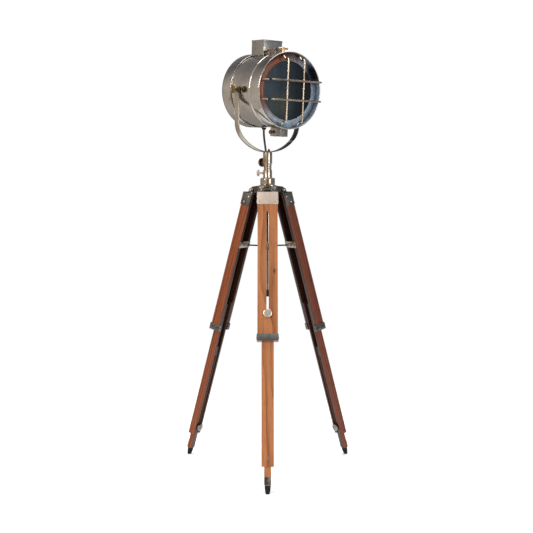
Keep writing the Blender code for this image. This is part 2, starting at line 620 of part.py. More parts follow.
def front_hood(head):
    wall, lip, rim = HOOD_WALL, BODY_RADIUS + 2 * GAP, HOOD_RADIUS
    profile = [
        (rim - wall, HOOD_FRONT), (rim, HOOD_FRONT), (rim + 0.0008, HOOD_FRONT - 0.0016),
        (rim, HOOD_FRONT - 0.0032), (rim, HOOD_REAR + 0.0020), (rim - 0.0018, HOOD_REAR), (lip, HOOD_REAR),
        (lip, HOOD_REAR + wall), (rim - wall, HOOD_REAR + wall),
    ]
    turned("front_hood", profile, "nickel", head, rotation=ALONG_DRUM, steps=DRUM_STEPS)


def lens_bezel(head):
    wall = HOOD_RADIUS - HOOD_WALL - GAP
    seat = LENS_RADIUS + GAP
    profile = [
        (seat - 0.0033, 0.1245), (0.1115, 0.1245), (wall, 0.1125), (wall, 0.1100), (0.1130, 0.1205),
        (0.1120, 0.1150), (seat, 0.1150), (seat, LENS_EDGE + GAP), (seat - 0.0033, LENS_EDGE + GAP),
    ]
    turned("lens_bezel", profile, "nickel", head, rotation=ALONG_DRUM, steps=DRUM_STEPS)


def glass_lens(head):
    edge = LENS_RADIUS - 0.0036
    dome = [(edge * i / 4, LENS_EDGE + LENS_DOME * (1 - (i / 4) ** 2)) for i in range(5)]
    profile = dome + [(LENS_RADIUS, LENS_EDGE), (LENS_RADIUS, LENS_REAR), (0, LENS_REAR)]
    turned("glass_lens", profile, "glass", head, rotation=ALONG_DRUM, steps=DRUM_STEPS, closed=False)


def cage_wire(offset, reach, upright):
    """A guard wire between two bends, whose ends run back and kink outward to the hood's wall."""
    wall = HOOD_RADIUS - HOOD_WALL - 2 * GAP - CAGE_WIRE
    end = math.sqrt(wall * wall - offset * offset)
    plane = CAGE_PLANE - (0.0052 if upright else 0.0)
    halves = []
    for bend in (abs(reach[0]), abs(reach[1])):
        kink = end - bend
        halves.append([
            (bend, plane), (bend + 0.0042, plane - 0.0014), (bend + 0.0056, plane - 0.0055),
            (bend + kink * 0.22, 0.1480), (bend + kink * 0.62, 0.1400), (end - 0.0015, 0.1285),
            (end, 0.1235), (end, CAGE_END),
        ])
    path = [(-across, ahead) for across, ahead in reversed(halves[0])] + halves[1]
    if upright:
        return [(ahead, offset, across) for across, ahead in path]
    return [(ahead, across, offset) for across, ahead in path]


def cage_guard(head):
    wires = [cage_wire(row, ROW_REACH, False) for row in CAGE_ROWS]
    wires += [cage_wire(column, COLUMN_REACH, True) for column in CAGE_COLUMNS]
    meshes = [curve_mesh(wire_curve(wire, CAGE_WIRE)) for wire in wires]
    cage = place("cage_guard", meshes[0], "satin_nickel", head)
    order = (meshes[2], meshes[3], meshes[1])
    combine(cage, "UNION", *(cutter("guard_wire", mesh, head) for mesh in order))


def head_room(head):
    """Cutters for the space that the body, the rear cover and the hood take up."""
    spans = (
        ("body_room", BODY_RADIUS, -0.12, 0.15),
        ("cover_room", COVER_RADIUS, -0.12, COVER_FRONT + GAP),
        ("bead_room", BEAD_RADIUS, BEAD_FROM - 0.001, BEAD_TO + 0.001),
        ("hood_room", HOOD_RADIUS, HOOD_REAR - GAP, 0.16),
    )
    return [cutter(name, bar_mesh((low, 0, 0), (high, 0, 0), radius + GAP, 64), head)
            for name, radius, low, high in spans]


def vent_box(head, room):
    rear, front = VENT_CENTRE - VENT_LENGTH / 2, VENT_CENTRE + VENT_LENGTH / 2
    half, wall = VENT_WIDTH / 2, 0.0015
    vent = place("vent_box", box_mesh((rear, -half, 0.100), (front, half, VENT_TOP)), "nickel", head)
    round_edges(vent, 0.0010, 1)
    inside = box_mesh((rear + wall, -half + wall, 0.05), (front - wall, half - wall, VENT_TOP - wall))
    combine(vent, "DIFFERENCE", cutter("vent_inside", inside, head), *room[:2])


def switch_box(head, room):
    half = SWITCH_WIDTH / 2
    mesh = box_mesh((SWITCH_REAR, -half, SWITCH_BOTTOM), (SWITCH_FRONT, half, -0.100))
    box = place("switch_box", mesh, "nickel", head)
    round_edges(box, 0.0010, 1)
    inside = box_mesh((SWITCH_REAR + 0.002, -half + 0.002, SWITCH_BOTTOM + 0.002),
                      (SWITCH_FRONT - 0.002, half - 0.002, -0.05))
    combine(box, "DIFFERENCE", cutter("switch_inside", inside, head), room[0], *room[2:])


def switch_knob(head):
    at = (0.0600, -SWITCH_WIDTH / 2 - GAP, -0.1480)
    axis = frame("switch_axis", head, at, (math.radians(90), 0, 0))
    turned("switch_knob", knob_profile(0.0078, 0.0040, 0.0105, 0.0035, 0.0), "bronze", axis, steps=16, closed=False)


def cord_gland(head):
    top = -BODY_RADIUS - 0.0012
    profile = [
        (LEAD_RADIUS - 0.001, top), (GLAND_RADIUS + 0.002, top), (GLAND_RADIUS + 0.002, top - 0.0028),
        (GLAND_RADIUS, top - 0.0034), (GLAND_RADIUS - 0.0010, top - 0.0062), (0.0052, GLAND_BOTTOM),
        (LEAD_RADIUS - 0.001, GLAND_BOTTOM),
    ]
    turned("cord_gland", profile, "bronze", head, (GLAND_AT, 0, 0), steps=16)


def hood_screws(head):
    """Two thumbscrews in front of the vent box, each a cross-bar on a stem."""
    foot = math.sqrt(BODY_RADIUS**2 - (HOOD_SCREW_U - 0.006) ** 2) + GAP
    for name, side, top, heading in (("left", -1, 0.1410, -35.7), ("right", 1, 0.1535, 54.3)):
        axis = frame("hood_screw_axis_" + name, head, (HOOD_SCREW_AT, side * HOOD_SCREW_U, 0),
                     (0, 0, math.radians(heading)))
        screw = place("hood_screw_" + name, bar_mesh((0, 0, foot), (0, 0, top), 0.0060, 20), "bronze", axis)
        cross = bar_mesh((-0.0172, 0, top), (0.0172, 0, top), 0.0048, 16)
        combine(screw, "UNION", cutter("screw_bar", cross, axis))


def lamp_holder(head):
    back = COVER_REAR + 0.0045 + 0.0014 + GAP
    profile = [
        (0, back + 0.058), (0.0170, back + 0.058), (0.0190, back + 0.054), (0.0190, back + 0.012),
        (0.0260, back + 0.010), (0.0260, back), (0, back),
    ]
    turned("lamp_holder", profile, "rubber", head, rotation=ALONG_DRUM, closed=False)


def bulb(head):
    back = COVER_REAR + 0.0045 + 0.0014 + 2 * GAP + 0.058
    globe, centre = 0.0300, back + 0.0600
    profile = [(globe * math.cos(a), centre + globe * math.sin(a)) for a in
               (math.radians(90 - 130 * i / 8) for i in range(9))]
    profile[0] = (0, centre + globe)
    profile += [(0.0140, back + 0.0180), (0.0130, back), (0, back)]
    turned("bulb", profile, "bulb", head, rotation=ALONG_DRUM, steps=16, closed=False)


def build_head(head):
    room = head_room(head)
    for build in (drum_shell, rear_cover, front_hood, lens_bezel, glass_lens, cage_guard):
        build(head)
    vent_box(head, room)
    switch_box(head, room)
    for build in (switch_knob, cord_gland, hood_screws, lamp_holder, bulb):
        build(head)


def build_lamp():
    column = frame("column_axis", location=(0, COLUMN_Y, 0))
    floor = cutter("under_floor", box_mesh((-1, -1, -0.1), (1, 1, 0)), None)
    for name, azimuth in LEG_AZIMUTHS.items():
        build_leg(name, azimuth, column, floor)
    for build in (tripod_spider, height_collar, column_tube, column_plug, brace_hub, height_screw, centre_post):
        build(column)
    yoke = frame("pan_axis", column, rotation=(0, 0, HEAD_YAW))
    for build in (yoke_socket, yoke_strap, pan_knob, tilt_knobs, head_lead):
        build(yoke)
    head = frame("tilt_axis", yoke, (0, 0, TILT_HEIGHT), (0, HEAD_PITCH, 0))
    build_head(head)


build_lamp()
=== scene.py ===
"""Looks for the tripod floor lamp: detailed pieces, materials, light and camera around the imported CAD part.

Metres, +Z up. Each leg has its own frame at its hinge (x outward, y across, z up along the leg), and so has
the head at its tilt axis (x forward along the drum, y along the pivots). Pieces are modelled in those frames.
"""

import math

import bmesh
import bpy
from mathutils import Matrix, Vector


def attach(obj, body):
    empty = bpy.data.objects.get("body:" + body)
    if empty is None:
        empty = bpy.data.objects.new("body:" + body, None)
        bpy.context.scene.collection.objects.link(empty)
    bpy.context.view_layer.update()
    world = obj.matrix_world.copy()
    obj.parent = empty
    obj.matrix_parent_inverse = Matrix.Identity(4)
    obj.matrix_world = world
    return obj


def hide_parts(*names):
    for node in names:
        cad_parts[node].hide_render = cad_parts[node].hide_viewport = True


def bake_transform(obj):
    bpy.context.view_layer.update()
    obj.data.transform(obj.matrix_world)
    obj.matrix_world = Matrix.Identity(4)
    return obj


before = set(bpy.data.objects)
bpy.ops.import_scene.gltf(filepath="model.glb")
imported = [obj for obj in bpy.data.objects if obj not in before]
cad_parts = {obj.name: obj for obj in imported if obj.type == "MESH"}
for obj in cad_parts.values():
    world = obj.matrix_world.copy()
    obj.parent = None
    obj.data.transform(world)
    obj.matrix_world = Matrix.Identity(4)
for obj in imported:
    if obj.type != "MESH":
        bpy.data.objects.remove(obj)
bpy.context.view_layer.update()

# Driving dimensions, as in the CAD source
GAP = 0.0003
COLUMN_Y = 0.0858
LEG_TILT = math.radians(16.21)
HINGE_RADIUS, HINGE_HEIGHT = 0.0608, 1.034
TILT_HEIGHT = 1.3952
HEAD_YAW, HEAD_PITCH = math.radians(-54.34), math.radians(3.75)
LEG_AZIMUTHS = {"front": -90.0, "left": 150.0, "right": 30.0}

UPPER_WIDTH, UPPER_IN, UPPER_OUT = 0.072, -0.0195, 0.0175
UPPER_TOP, UPPER_END = 0.0125, 0.5508
CHANNEL_WIDTH, CHANNEL_FLOOR = 0.044, 0.0093
SLOT_WIDTH, SLOT_TOP, CLAMP_AT = 0.008, 0.0843, 0.454
MIDDLE_WIDTH, MIDDLE_IN, MIDDLE_OUT = 0.043, -0.0190, 0.0090
MIDDLE_TOP, MIDDLE_END = 0.442, 0.984
GROOVE_WIDTH, GROOVE_FLOOR = 0.0246, 0.0045
LOWER_WIDTH, LOWER_IN, LOWER_OUT = 0.0240, -0.0150, 0.0041
LOWER_TOP, LOWER_END = 0.620, 1.0465
LOWER_SLOT_WIDTH, LOWER_SLOT = 0.0072, (0.655, 0.968)
FOOT_BOLT_AT = 0.955
FERRULE_HEIGHT, FERRULE_WALL = 0.025, 0.0024
CAP_WALL, CAP_TOP, CAP_END = 0.0016, 0.0108, 0.0574
HINGE_PIN = 0.0030
EAR_INNER, EAR_OUTER = 0.0146, 0.0186

BRACE_AT, BRACE_X = 0.206, -0.0265
HUB_PIVOT_RADIUS, HUB_HEIGHT, HUB_RADIUS = 0.0335, 0.015, 0.0166
EAR_GAP, EAR_THICK = 0.0042, 0.0020
ROD_RADIUS = 0.0028

TUBE_RADIUS, TUBE_BORE, TUBE_END = 0.0135, 0.0116, 0.6670
POST_RADIUS, POST_BORE, POST_END = 0.0112, 0.0070, 0.7200
CUP_RADIUS, CUP_TOP, CUP_END = 0.0335, 1.0527, 1.0270
SLEEVE_RADIUS, SLEEVE_TOP, COLLAR_RADIUS, COLLAR_TOP = 0.0165, 1.1070, 0.0270, 1.0790
RING_RADIUS, RING_TOP = 0.0145, 1.1270
SOCKET_RADIUS, SOCKET_TOP, SPIGOT_RADIUS = 0.0170, 1.1722, 0.0125
YOKE_FOOT, YOKE_WIDTH, YOKE_THICK = 1.1737, 0.0270, 0.0030
HOOP_RADIUS, BEND_RADIUS, PIVOT_SPAN, TRUNNION_END = 0.1570, 0.0830, 0.1352, 0.1330
HEIGHT_SCREW_AT, PAN_KNOB_AT, PAN_KNOB_DIRECTION = 1.0966, 1.1358, math.radians(130.5)
LEAD_RADIUS, LEAD_HOLE_U, CABLE_NUT_U = 0.00375, -0.0070, 0.0060

BODY_RADIUS, BODY_WALL, BODY_REAR, BODY_FRONT = 0.1312, 0.0012, -0.0580, 0.0920
BEAD_FROM, BEAD_TO, BEAD_RADIUS = 0.0600, 0.0760, 0.1344
COVER_RADIUS, COVER_REAR, COVER_FRONT = 0.1338, -0.1000, -0.0450
HOOD_RADIUS, HOOD_REAR, HOOD_FRONT, HOOD_WALL = 0.1354, 0.0800, 0.1380, 0.0014
LENS_RADIUS, LENS_REAR, LENS_EDGE, LENS_DOME = 0.1075, 0.1180, 0.1212, 0.0085
CAGE_PLANE, CAGE_END, CAGE_WIRE = 0.1720, 0.1200, 0.0033
CAGE_ROWS, ROW_REACH = (-0.0340, 0.0340), (-0.0950, 0.1080)
CAGE_COLUMNS, COLUMN_REACH = (-0.0335, 0.0372), (-0.1035, 0.1030)
VENT_LENGTH, VENT_WIDTH, VENT_TOP, VENT_CENTRE = 0.0770, 0.0830, 0.1807, -0.0150
SWITCH_REAR, SWITCH_FRONT, SWITCH_WIDTH, SWITCH_BOTTOM = 0.0480, 0.1120, 0.0320, -0.1630
GLAND_AT, GLAND_RADIUS, GLAND_BOTTOM = -0.0145, 0.0080, -0.1420
HOOD_SCREW_AT, HOOD_SCREW_U = 0.0430, 0.0320
KNOB_RADIUS = 0.0160


def turn(axis, degrees):
    return Matrix.Rotation(math.radians(degrees), 4, axis)


def shift(x, y, z):
    return Matrix.Translation((x, y, z))


# Frames of the moving groups, at rest
COLUMN = shift(0, COLUMN_Y, 0)
YOKE = COLUMN @ Matrix.Rotation(HEAD_YAW, 4, "Z")
HEAD = YOKE @ shift(0, 0, TILT_HEIGHT) @ Matrix.Rotation(HEAD_PITCH, 4, "Y")
LEGS = {
    name: COLUMN @ turn("Z", azimuth) @ shift(
        HINGE_RADIUS, 0, HINGE_HEIGHT
    ) @ Matrix.Rotation(-LEG_TILT, 4, "Y") for name, azimuth in LEG_AZIMUTHS.items()
}
FORWARD = turn("Y", 90)
UP = Matrix()

# Steps round a turned piece, by its size, and the angle in degrees above which an edge stays sharp
DRUM_STEPS, TUBE_STEPS, SMALL_STEPS = 160, 96, 48
SHARP = 32


# Mesh helpers
def as_mesh(shape, sharp=SHARP):
    bmesh.ops.recalc_face_normals(shape, faces=shape.faces)
    mesh = bpy.data.meshes.new("piece")
    shape.to_mesh(mesh)
    shape.free()
    mesh.shade_smooth()
    mesh.set_sharp_from_angle(angle=math.radians(sharp))
    return mesh


def moved(mesh, matrix):
    copy = mesh.copy()
    copy.transform(matrix)
    return copy


def joined(*meshes, sharp=SHARP):
    """Several meshes as one, each kept as its own closed shell."""
    shape = bmesh.new()
    for mesh in meshes:
        shape.from_mesh(mesh)
    return as_mesh(shape, sharp)


def fillet(points, radius, steps=4, closed=False):
    """A polyline with each corner turned into a curve, in two or three dimensions."""
    points = [Vector(p) for p in points]
    count, rounded = len(points), []
    for i, corner in enumerate(points):
        if not closed and i in (0, count - 1):
            rounded.append(corner)
            continue
        before, after = points[i - 1] - corner, points[(i + 1) % count] - corner
        reach = min(radius, before.length * 0.48, after.length * 0.48)
        start, end = corner + before.normalized() * reach, corner + after.normalized() * reach
        for k in range(steps + 1):
            t = k / steps
            rounded.append(start * (1 - t) ** 2 + corner * 2 * t * (1 - t) + end * t * t)
    return rounded


def arc(centre, radius, start, end, steps):
    angles = [math.radians(start + (end - start) * i / steps) for i in range(steps + 1)]
    return [(centre[0] + radius * math.cos(a), centre[1] + radius * math.sin(a)) for a in angles]


def lathe(profile, radius=0.0006, steps=96, closed=False, matrix=UP, corner_steps=3, flutes=None):
    """A turned mesh. The profile of (radius, height) has its corners rounded, and may end on the axis.

    Flutes are (count, share of the radius, smallest radius that has them).
    """
    points = fillet(profile, radius, corner_steps, closed)
    shape = bmesh.new()
    rings = []
    for r, height in points:
        if r < 1e-7:
            rings.append([shape.verts.new((0, 0, height))])
        else:
            ring = []
            for i in range(steps):
                angle, wide = 2 * math.pi * i / steps, r
                if flutes and r > flutes[2]:
                    wide *= 1 - flutes[1] * (0.5 - 0.5 * math.cos(angle * flutes[0]))
                ring.append(shape.verts.new((wide * math.cos(angle), wide * math.sin(angle), height)))
            rings.append(ring)
    pairs = list(zip(rings, rings[1:]))
    if closed:
        pairs.append((rings[-1], rings[0]))
    for low, high in pairs:
        for i in range(steps):
            k = (i + 1) % steps
            corners = [low[i % len(low)], low[k % len(low)], high[k % len(high)], high[i % len(high)]]
            unique = list(dict.fromkeys(corners))
            if len(unique) > 2:
                shape.faces.new(unique)
    bmesh.ops.transform(shape, matrix=matrix, verts=shape.verts)
    return as_mesh(shape)


def tube(points, radius, sides=20):
    """A round bar swept along a line of points."""
    points = [Vector(p) for p in points]
    shape = bmesh.new()
    rings, normal = [], None
    for i, point in enumerate(points):
        ahead = points[min(i + 1, len(points) - 1)] - points[max(i - 1, 0)]
        along = ahead.normalized()
        normal = along.orthogonal() if normal is None else normal - along * normal.dot(along)
        normal.normalize()
        across = along.cross(normal)
        rings.append(
            [
                shape.verts.new(point + (normal * math.cos(a) + across * math.sin(a)) * radius)
                for a in (2 * math.pi * k / sides for k in range(sides))
            ]
        )
    for low, high in zip(rings, rings[1:]):
        for k in range(sides):
            shape.faces.new((low[k], low[(k + 1) % sides], high[(k + 1) % sides], high[k]))
    for ring in (rings[0], rings[-1]):
        shape.faces.new(ring)
    return as_mesh(shape, 50)


def rod(start, end, radius, sides=32, ease=0.0004):
    """A straight round bar with eased ends."""
    start, end = Vector(start), Vector(end)
    length = (end - start).length
    profile = [(0, 0), (radius, 0), (radius, length), (0, length)]
    aim = Vector((0, 0, 1)).rotation_difference(end - start).to_matrix().to_4x4()
    return lathe(profile, ease, sides, matrix=Matrix.Translation(start) @ aim)


def plate(outline, depth, edge=0.0006, matrix=UP, holes=(), segments=2):
    """A flat outline with holes, depth thick about z = 0, all its edges rounded."""
    curve = bpy.data.curves.new("outline", "CURVE")
    curve.dimensions = "2D"
    curve.fill_mode = "BOTH"
    curve.extrude = depth / 2 - edge
    curve.bevel_depth = edge
    curve.bevel_resolution = segments - 1
    curve.offset = -edge
    for line in (outline, *holes):
        spline = curve.splines.new("POLY")
        spline.points.add(len(line) - 1)
        for point, (x, y) in zip(spline.points, line):
            point.co = (x, y, 0, 1)
        spline.use_cyclic_u = True
    holder = bpy.data.objects.new("outline", curve)
    bpy.context.scene.collection.objects.link(holder)
    graph = bpy.context.evaluated_depsgraph_get()
    mesh = bpy.data.meshes.new_from_object(holder.evaluated_get(graph))
    bpy.data.objects.remove(holder)
    shape = bmesh.new()
    shape.from_mesh(mesh)
    bmesh.ops.remove_doubles(shape, verts=shape.verts, dist=0.00001)
    bmesh.ops.transform(shape, matrix=matrix, verts=shape.verts)
    return as_mesh(shape)


def block(low, high, edge=0.0006, segments=2):
    """A box with rounded edges between two corners."""
    low, high = Vector(low), Vector(high)
    shape = bmesh.new()
    bmesh.ops.create_cube(shape, size=1.0)
    bmesh.ops.scale(shape, vec=high - low, verts=shape.verts)
    bmesh.ops.translate(shape, vec=(low + high) / 2, verts=shape.verts)
    bmesh.ops.bevel(shape, geom=shape.edges, offset=edge, segments=segments, affect="EDGES", profile=0.5)
    return as_mesh(shape)


def carved(mesh, *tools, operation="DIFFERENCE"):
    """The mesh with the tools cut from it, or joined to it."""
    holder = bpy.data.objects.new("carved", mesh)
    helpers = [bpy.data.objects.new("tool", tool) for tool in tools]
    for item in (holder, *helpers):
        bpy.context.scene.collection.objects.link(item)
    for helper in helpers:
        modifier = holder.modifiers.new("carve", "BOOLEAN")
        modifier.operation = operation
        modifier.solver = "EXACT"
        modifier.object = helper
    graph = bpy.context.evaluated_depsgraph_get()
    result = bpy.data.meshes.new_from_object(holder.evaluated_get(graph))
    for item in (holder, *helpers):
        bpy.data.objects.remove(item)
    result.shade_smooth()
    result.set_sharp_from_angle(angle=math.radians(SHARP))
    return result


def add(name, mesh, material, matrix, body, slot, *replaced):
    """A named piece in its group's frame, riding on a body and standing for CAD nodes."""
    piece = bpy.data.objects.new(name, mesh)
    bpy.context.scene.collection.objects.link(piece)
    piece.matrix_world = matrix
    mesh.materials.clear()
    mesh.materials.append(material)
    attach(piece, body)
    if replaced:
        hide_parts(*replaced)
    return piece


def on_head(name, mesh, material, slot, *replaced):
    return add(name, mesh, material, HEAD, "head", slot, *replaced)


def screw_mesh(radius, height, at, aim):
    """A domed screw head with a slot, standing on a surface at a point."""
    dome = [(0, height)] + [(radius * math.sin(a), height * math.cos(a) ** 0.6) for a in (0.5, 0.9, 1.25)]
    head = lathe(dome + [(radius, height * 0.25), (radius, -height * 0.3), (0, -height * 0.3)], 0.0001, 20)
    groove = block(
        (-radius * 1.2, -radius * 0.14, height * 0.45), (radius * 1.2, radius * 0.14, height * 2), 0.00002,
        1
    )
    aim = Vector((0, 0, 1)).rotation_difference(Vector(aim)).to_matrix().to_4x4()
    return moved(carved(head, groove), Matrix.Translation(at) @ aim)


def mirrored(y):
    return (-y, y)


# Material helpers
class Finish:
    """A procedural material while its nodes are put together."""

    def __init__(self, name, sockets):
        self.material = bpy.data.materials.new(name)
        self.material.use_nodes = True
        self.tree = self.material.node_tree
        self.shader = self.tree.nodes["Principled BSDF"]
        self.place = self.node("ShaderNodeTexCoord").outputs["Object"]
        self.normal = None
        for socket, value in sockets.items():
            self.give(self.shader.inputs[socket], value)

    def give(self, socket, value):
        if isinstance(value, bpy.types.NodeSocket):
            self.tree.links.new(value, socket)
        else:
            socket.default_value = value

    def paint(self, colour):
        self.give(self.shader.inputs["Base Color"], colour)

    def painted(self):
        return self.shader.inputs["Base Color"].links[0].from_socket

    def roughen(self, roughness):
        self.give(self.shader.inputs["Roughness"], roughness)

    def node(self, kind, inputs=None, **settings):
        node = self.tree.nodes.new(kind)
        for key, value in settings.items():
            setattr(node, key, value)
        for key, value in (inputs or {}).items():
            self.give(node.inputs[key], value)
        return node

    def mapped(self, stretch=(1, 1, 1), offset=(0, 0, 0), rotation=(0, 0, 0)):
        inputs = {"Vector": self.place, "Scale": stretch, "Location": offset, "Rotation": rotation}
        return self.node("ShaderNodeMapping", inputs).outputs[0]

    def noise(self, scale, stretch=(1, 1, 1), detail=3.0, offset=(0, 0, 0), distortion=0.0, rough=0.5):
        inputs = {
            "Vector": self.mapped(stretch, offset), "Scale": scale, "Detail": detail,
            "Distortion": distortion, "Roughness": rough
        }
        return self.node("ShaderNodeTexNoise", inputs).outputs[0]

    def spread(self, source, start, end, low, high):
        inputs = {0: source, 1: start, 2: end, 3: low, 4: high}
        return self.node("ShaderNodeMapRange", inputs).outputs[0]

    def math(self, operation, *values):
        return self.node("ShaderNodeMath", dict(enumerate(values)), operation=operation).outputs[0]

    def distance(self, first, second):
        squares = self.math("POWER", first, 2.0), self.math("POWER", second, 2.0)
        return self.math("SQRT", self.math("ADD", *squares))

    def mix(self, factor, first, second, blend="MIX"):
        inputs = {0: factor, 6: first, 7: second}
        return self.node("ShaderNodeMix", inputs, data_type="RGBA", blend_type=blend).outputs[2]

    def ramp(self, source, stops):
        node = self.node("ShaderNodeValToRGB", {0: source})
        elements = node.color_ramp.elements
        while len(elements) < len(stops):
            elements.new(0.5)
        for element, (position, colour) in zip(elements, stops):
            element.position = position
            element.color = (*colour, 1)
        return node.outputs[0]

    def bump(self, height, distance, strength=1.0):
        inputs = {"Height": height, "Distance": distance, "Strength": strength}
        if self.normal is not None:
            inputs["Normal"] = self.normal
        self.normal = self.node("ShaderNodeBump", inputs).outputs[0]
        self.give(self.shader.inputs["Normal"], self.normal)

    def axes(self):
        return self.node("ShaderNodeSeparateXYZ", {0: self.place}).outputs


def rgb(text):
    """A linear colour from its hex form."""
    parts = [int(text[i:i + 2], 16) / 255 for i in (0, 2, 4)]
    return tuple(c / 12.92 if c <= 0.04045 else ((c + 0.055) / 1.055) ** 2.4 for c in parts)


def rgba(text):
    return (*rgb(text), 1.0)


def metal(name, clean, stained, roughness, dents=0.0, lines=None, stain=(0.45, 0.75), worn=1.0):
    """Plated metal: cloudy stains, wiping marks, fine scratches, and the slight dents of thin sheet."""
    finish = Finish(name, {"Metallic": 1.0})
    cloud = finish.noise(14, detail=6, rough=0.62)
    spots = finish.noise(95, detail=4, offset=(3, 1, 2))
    wipes = finish.noise(40, (1.0, 9.0, 3.0), 4, (5, 5, 5), 0.4)
    stains = finish.spread(
        finish.math("ADD", cloud, finish.math("MULTIPLY", spots, 0.25)), stain[0] + 0.12, stain[1] + 0.12,
        0, 1
    )
    finish.paint(finish.mix(stains, rgba(clean), rgba(stained)))
    rough = finish.spread(finish.math("ADD", cloud, wipes), 0.6, 1.4, roughness * 0.6, roughness * 1.55)
    finish.roughen(rough)
    if lines:
        finish.bump(finish.noise(lines[0], lines[1], 2, (1, 2, 3)), lines[2], 0.6)
    scratches = finish.noise(320, (1, 1, 14), 2, (7, 3, 1), 0.2)
    finish.bump(finish.spread(scratches, 0.62, 0.72, 0, 1), 0.000006 * worn, 0.5)
    if dents:
        finish.bump(finish.noise(11, detail=2, offset=(2, 8, 4)), dents, 1.0)
    return finish


def wood(name, light, dark, deep, seed, hollow, knot=None):
    """Oiled plain-sawn boards: cathedral figure, streaks along the leg, dark pores, and painted shade that
    makes the insides near black.
    """
    finish = Finish(name, {"Coat Roughness": 0.30, "Coat Weight": 0.10, "Specular IOR Level": 0.30})
    offset = (seed * 1.7, seed * 0.9, seed * 2.3)
    drift = finish.noise(1, (9, 9, 1.6), 3, offset)
    streak = finish.noise(1, (120, 120, 3.2), 5, offset, 0.35, 0.6)
    warp = finish.node(
        "ShaderNodeTexNoise", {"Vector": finish.mapped((14, 14, 2.2), offset), "Scale": 1.0, "Detail": 2.0}
    )
    sway = finish.node("ShaderNodeVectorMath", {0: warp.outputs[1], "Scale": 0.035}, operation="SCALE")
    bend = finish.node(
        "ShaderNodeVectorMath", {0: finish.mapped((1, 1, 1), offset), 1: sway.outputs[0]}, operation="ADD"
    ).outputs[0]
    squeezed = finish.node("ShaderNodeMapping", {"Vector": bend, "Scale": (18, 11, 0.75)}).outputs[0]
    rings = finish.node(
        "ShaderNodeTexWave",
        {"Vector": squeezed, "Scale": 2.1, "Distortion": 2.6, "Detail": 2.5, "Detail Scale": 0.9},
        wave_type="RINGS", rings_direction="SPHERICAL", wave_profile="SAW"
    ).outputs["Fac"]
    figure = finish.math("ADD", finish.math("MULTIPLY", rings, 0.42), finish.math("MULTIPLY", streak, 0.58))
    colour = finish.ramp(
        finish.math("ADD", figure, finish.math("MULTIPLY", drift, 0.28)),
        [(0.36, dark), (0.52, [(a + b) / 2 for a, b in zip(dark, light)]), (0.72, light)]
    )
    pores = finish.spread(finish.noise(1, (900, 900, 22), 2, offset), 0.60, 0.70, 0, 0.8)
    colour = finish.mix(pores, colour, (*deep, 1))
    if knot:
        where, size = knot
        gap = finish.node(
            "ShaderNodeVectorMath", {0: finish.place, 1: where}, operation="SUBTRACT"
        ).outputs[0]
        near = finish.node(
            "ShaderNodeVectorMath",
            {0: finish.node("ShaderNodeMapping", {"Vector": gap, "Scale": (1, 1, 0.45)}).outputs[0]},
            operation="LENGTH"
        ).outputs["Value"]
        wobble = finish.math("ADD", near, finish.math("MULTIPLY", finish.noise(120, detail=3), size * 0.5))
        colour = finish.mix(finish.spread(wobble, size * 0.55, size * 1.7, 0.85, 0), colour, (*deep, 1))
    # Painted shade: faces turned inward and faces inside the hollow are darkened to near black.
    facing = finish.node(
        "ShaderNodeSeparateXYZ", {0: finish.node("ShaderNodeTexCoord").outputs["Normal"]}
    ).outputs[0]
    x, y = finish.axes()[:2]
    inside = finish.math(
        "MULTIPLY", finish.math("LESS_THAN", finish.math("ABSOLUTE", y), hollow[0] / 2 + 0.0006),
        finish.math("LESS_THAN", x, hollow[1] + 0.0006)
    )
    painted_inner_shade = finish.math(
        "MAXIMUM", finish.spread(facing, -0.3, -0.8, 0, 0.86), finish.math("MULTIPLY", inside, 0.86)
    )
    colour = finish.mix(painted_inner_shade, colour, rgba("22110a"))
    finish.paint(colour)
    finish.roughen(finish.spread(figure, 0.3, 0.7, 0.34, 0.52))
    finish.bump(streak, 0.00025, 0.35)
    finish.bump(pores, -0.00012, 0.5)
    return finish.material


# Materials
NICKEL_FINE = metal("nickel_turned", "b9afa2", "86786a", 0.14, lines=(1, (30, 30, 900), 0.00003)).material
SHEET = metal("nickel_sheet", "a3a09b", "726a61", 0.24, 0.0007, stain=(0.40, 0.80)).material
DRUM = metal("nickel_drum", "bdb7b0", "8c8278", 0.085, 0.0014, stain=(0.42, 0.85)).material
SATIN = metal("nickel_satin", "b4aa9c", "8d8071", 0.26, lines=(1, (60, 900, 60), 0.00003)).material
CAP_PLATE = metal("cap_plate", "d8c6b7", "bda998", 0.34, 0.0003, lines=(1, (40, 1100, 40), 0.00004)).material
SHOE = metal("shoe_plate", "b5aea4", "4d4239", 0.30, 0.0002, stain=(0.35, 0.60), worn=3.0).material
WIRE = metal("guard_wire", "cbb9a2", "7d6d5c", 0.20, stain=(0.42, 0.75)).material
BRONZE = metal("bronze", "8a6a45", "3f2f22", 0.24, stain=(0.36, 0.66), worn=2.0).material
# A darker copy of the guard wire, as painted shade for the rows.
WIRE_SHADED = metal("guard_wire_dark", "a89887", "5a4d42", 0.21, stain=(0.40, 0.72)).material
BRASS = metal("brass", "d2b08c", "84674c", 0.20, stain=(0.42, 0.75)).material
BRASS_DARK = metal("brass_dark", "94815a", "4b3f2a", 0.24, stain=(0.38, 0.7)).material
POST_METAL = metal("nickel_post", "b0a292", "766757", 0.15, lines=(1, (20, 20, 400), 0.00001)).material
CAP_SIDE = metal("cap_side", "6c6864", "37322f", 0.24, 0.0003).material
FERRULE_METAL = metal("ferrule", "918d89", "544e49", 0.17, 0.0003, stain=(0.42, 0.75)).material
KNOB_METAL = metal("knob_plate", "cfbfb0", "9c8c7d", 0.30, stain=(0.46, 0.80), worn=2.0).material
DARK_METAL = metal("dark_metal", "4a423b", "1c1815", 0.32, stain=(0.35, 0.65)).material


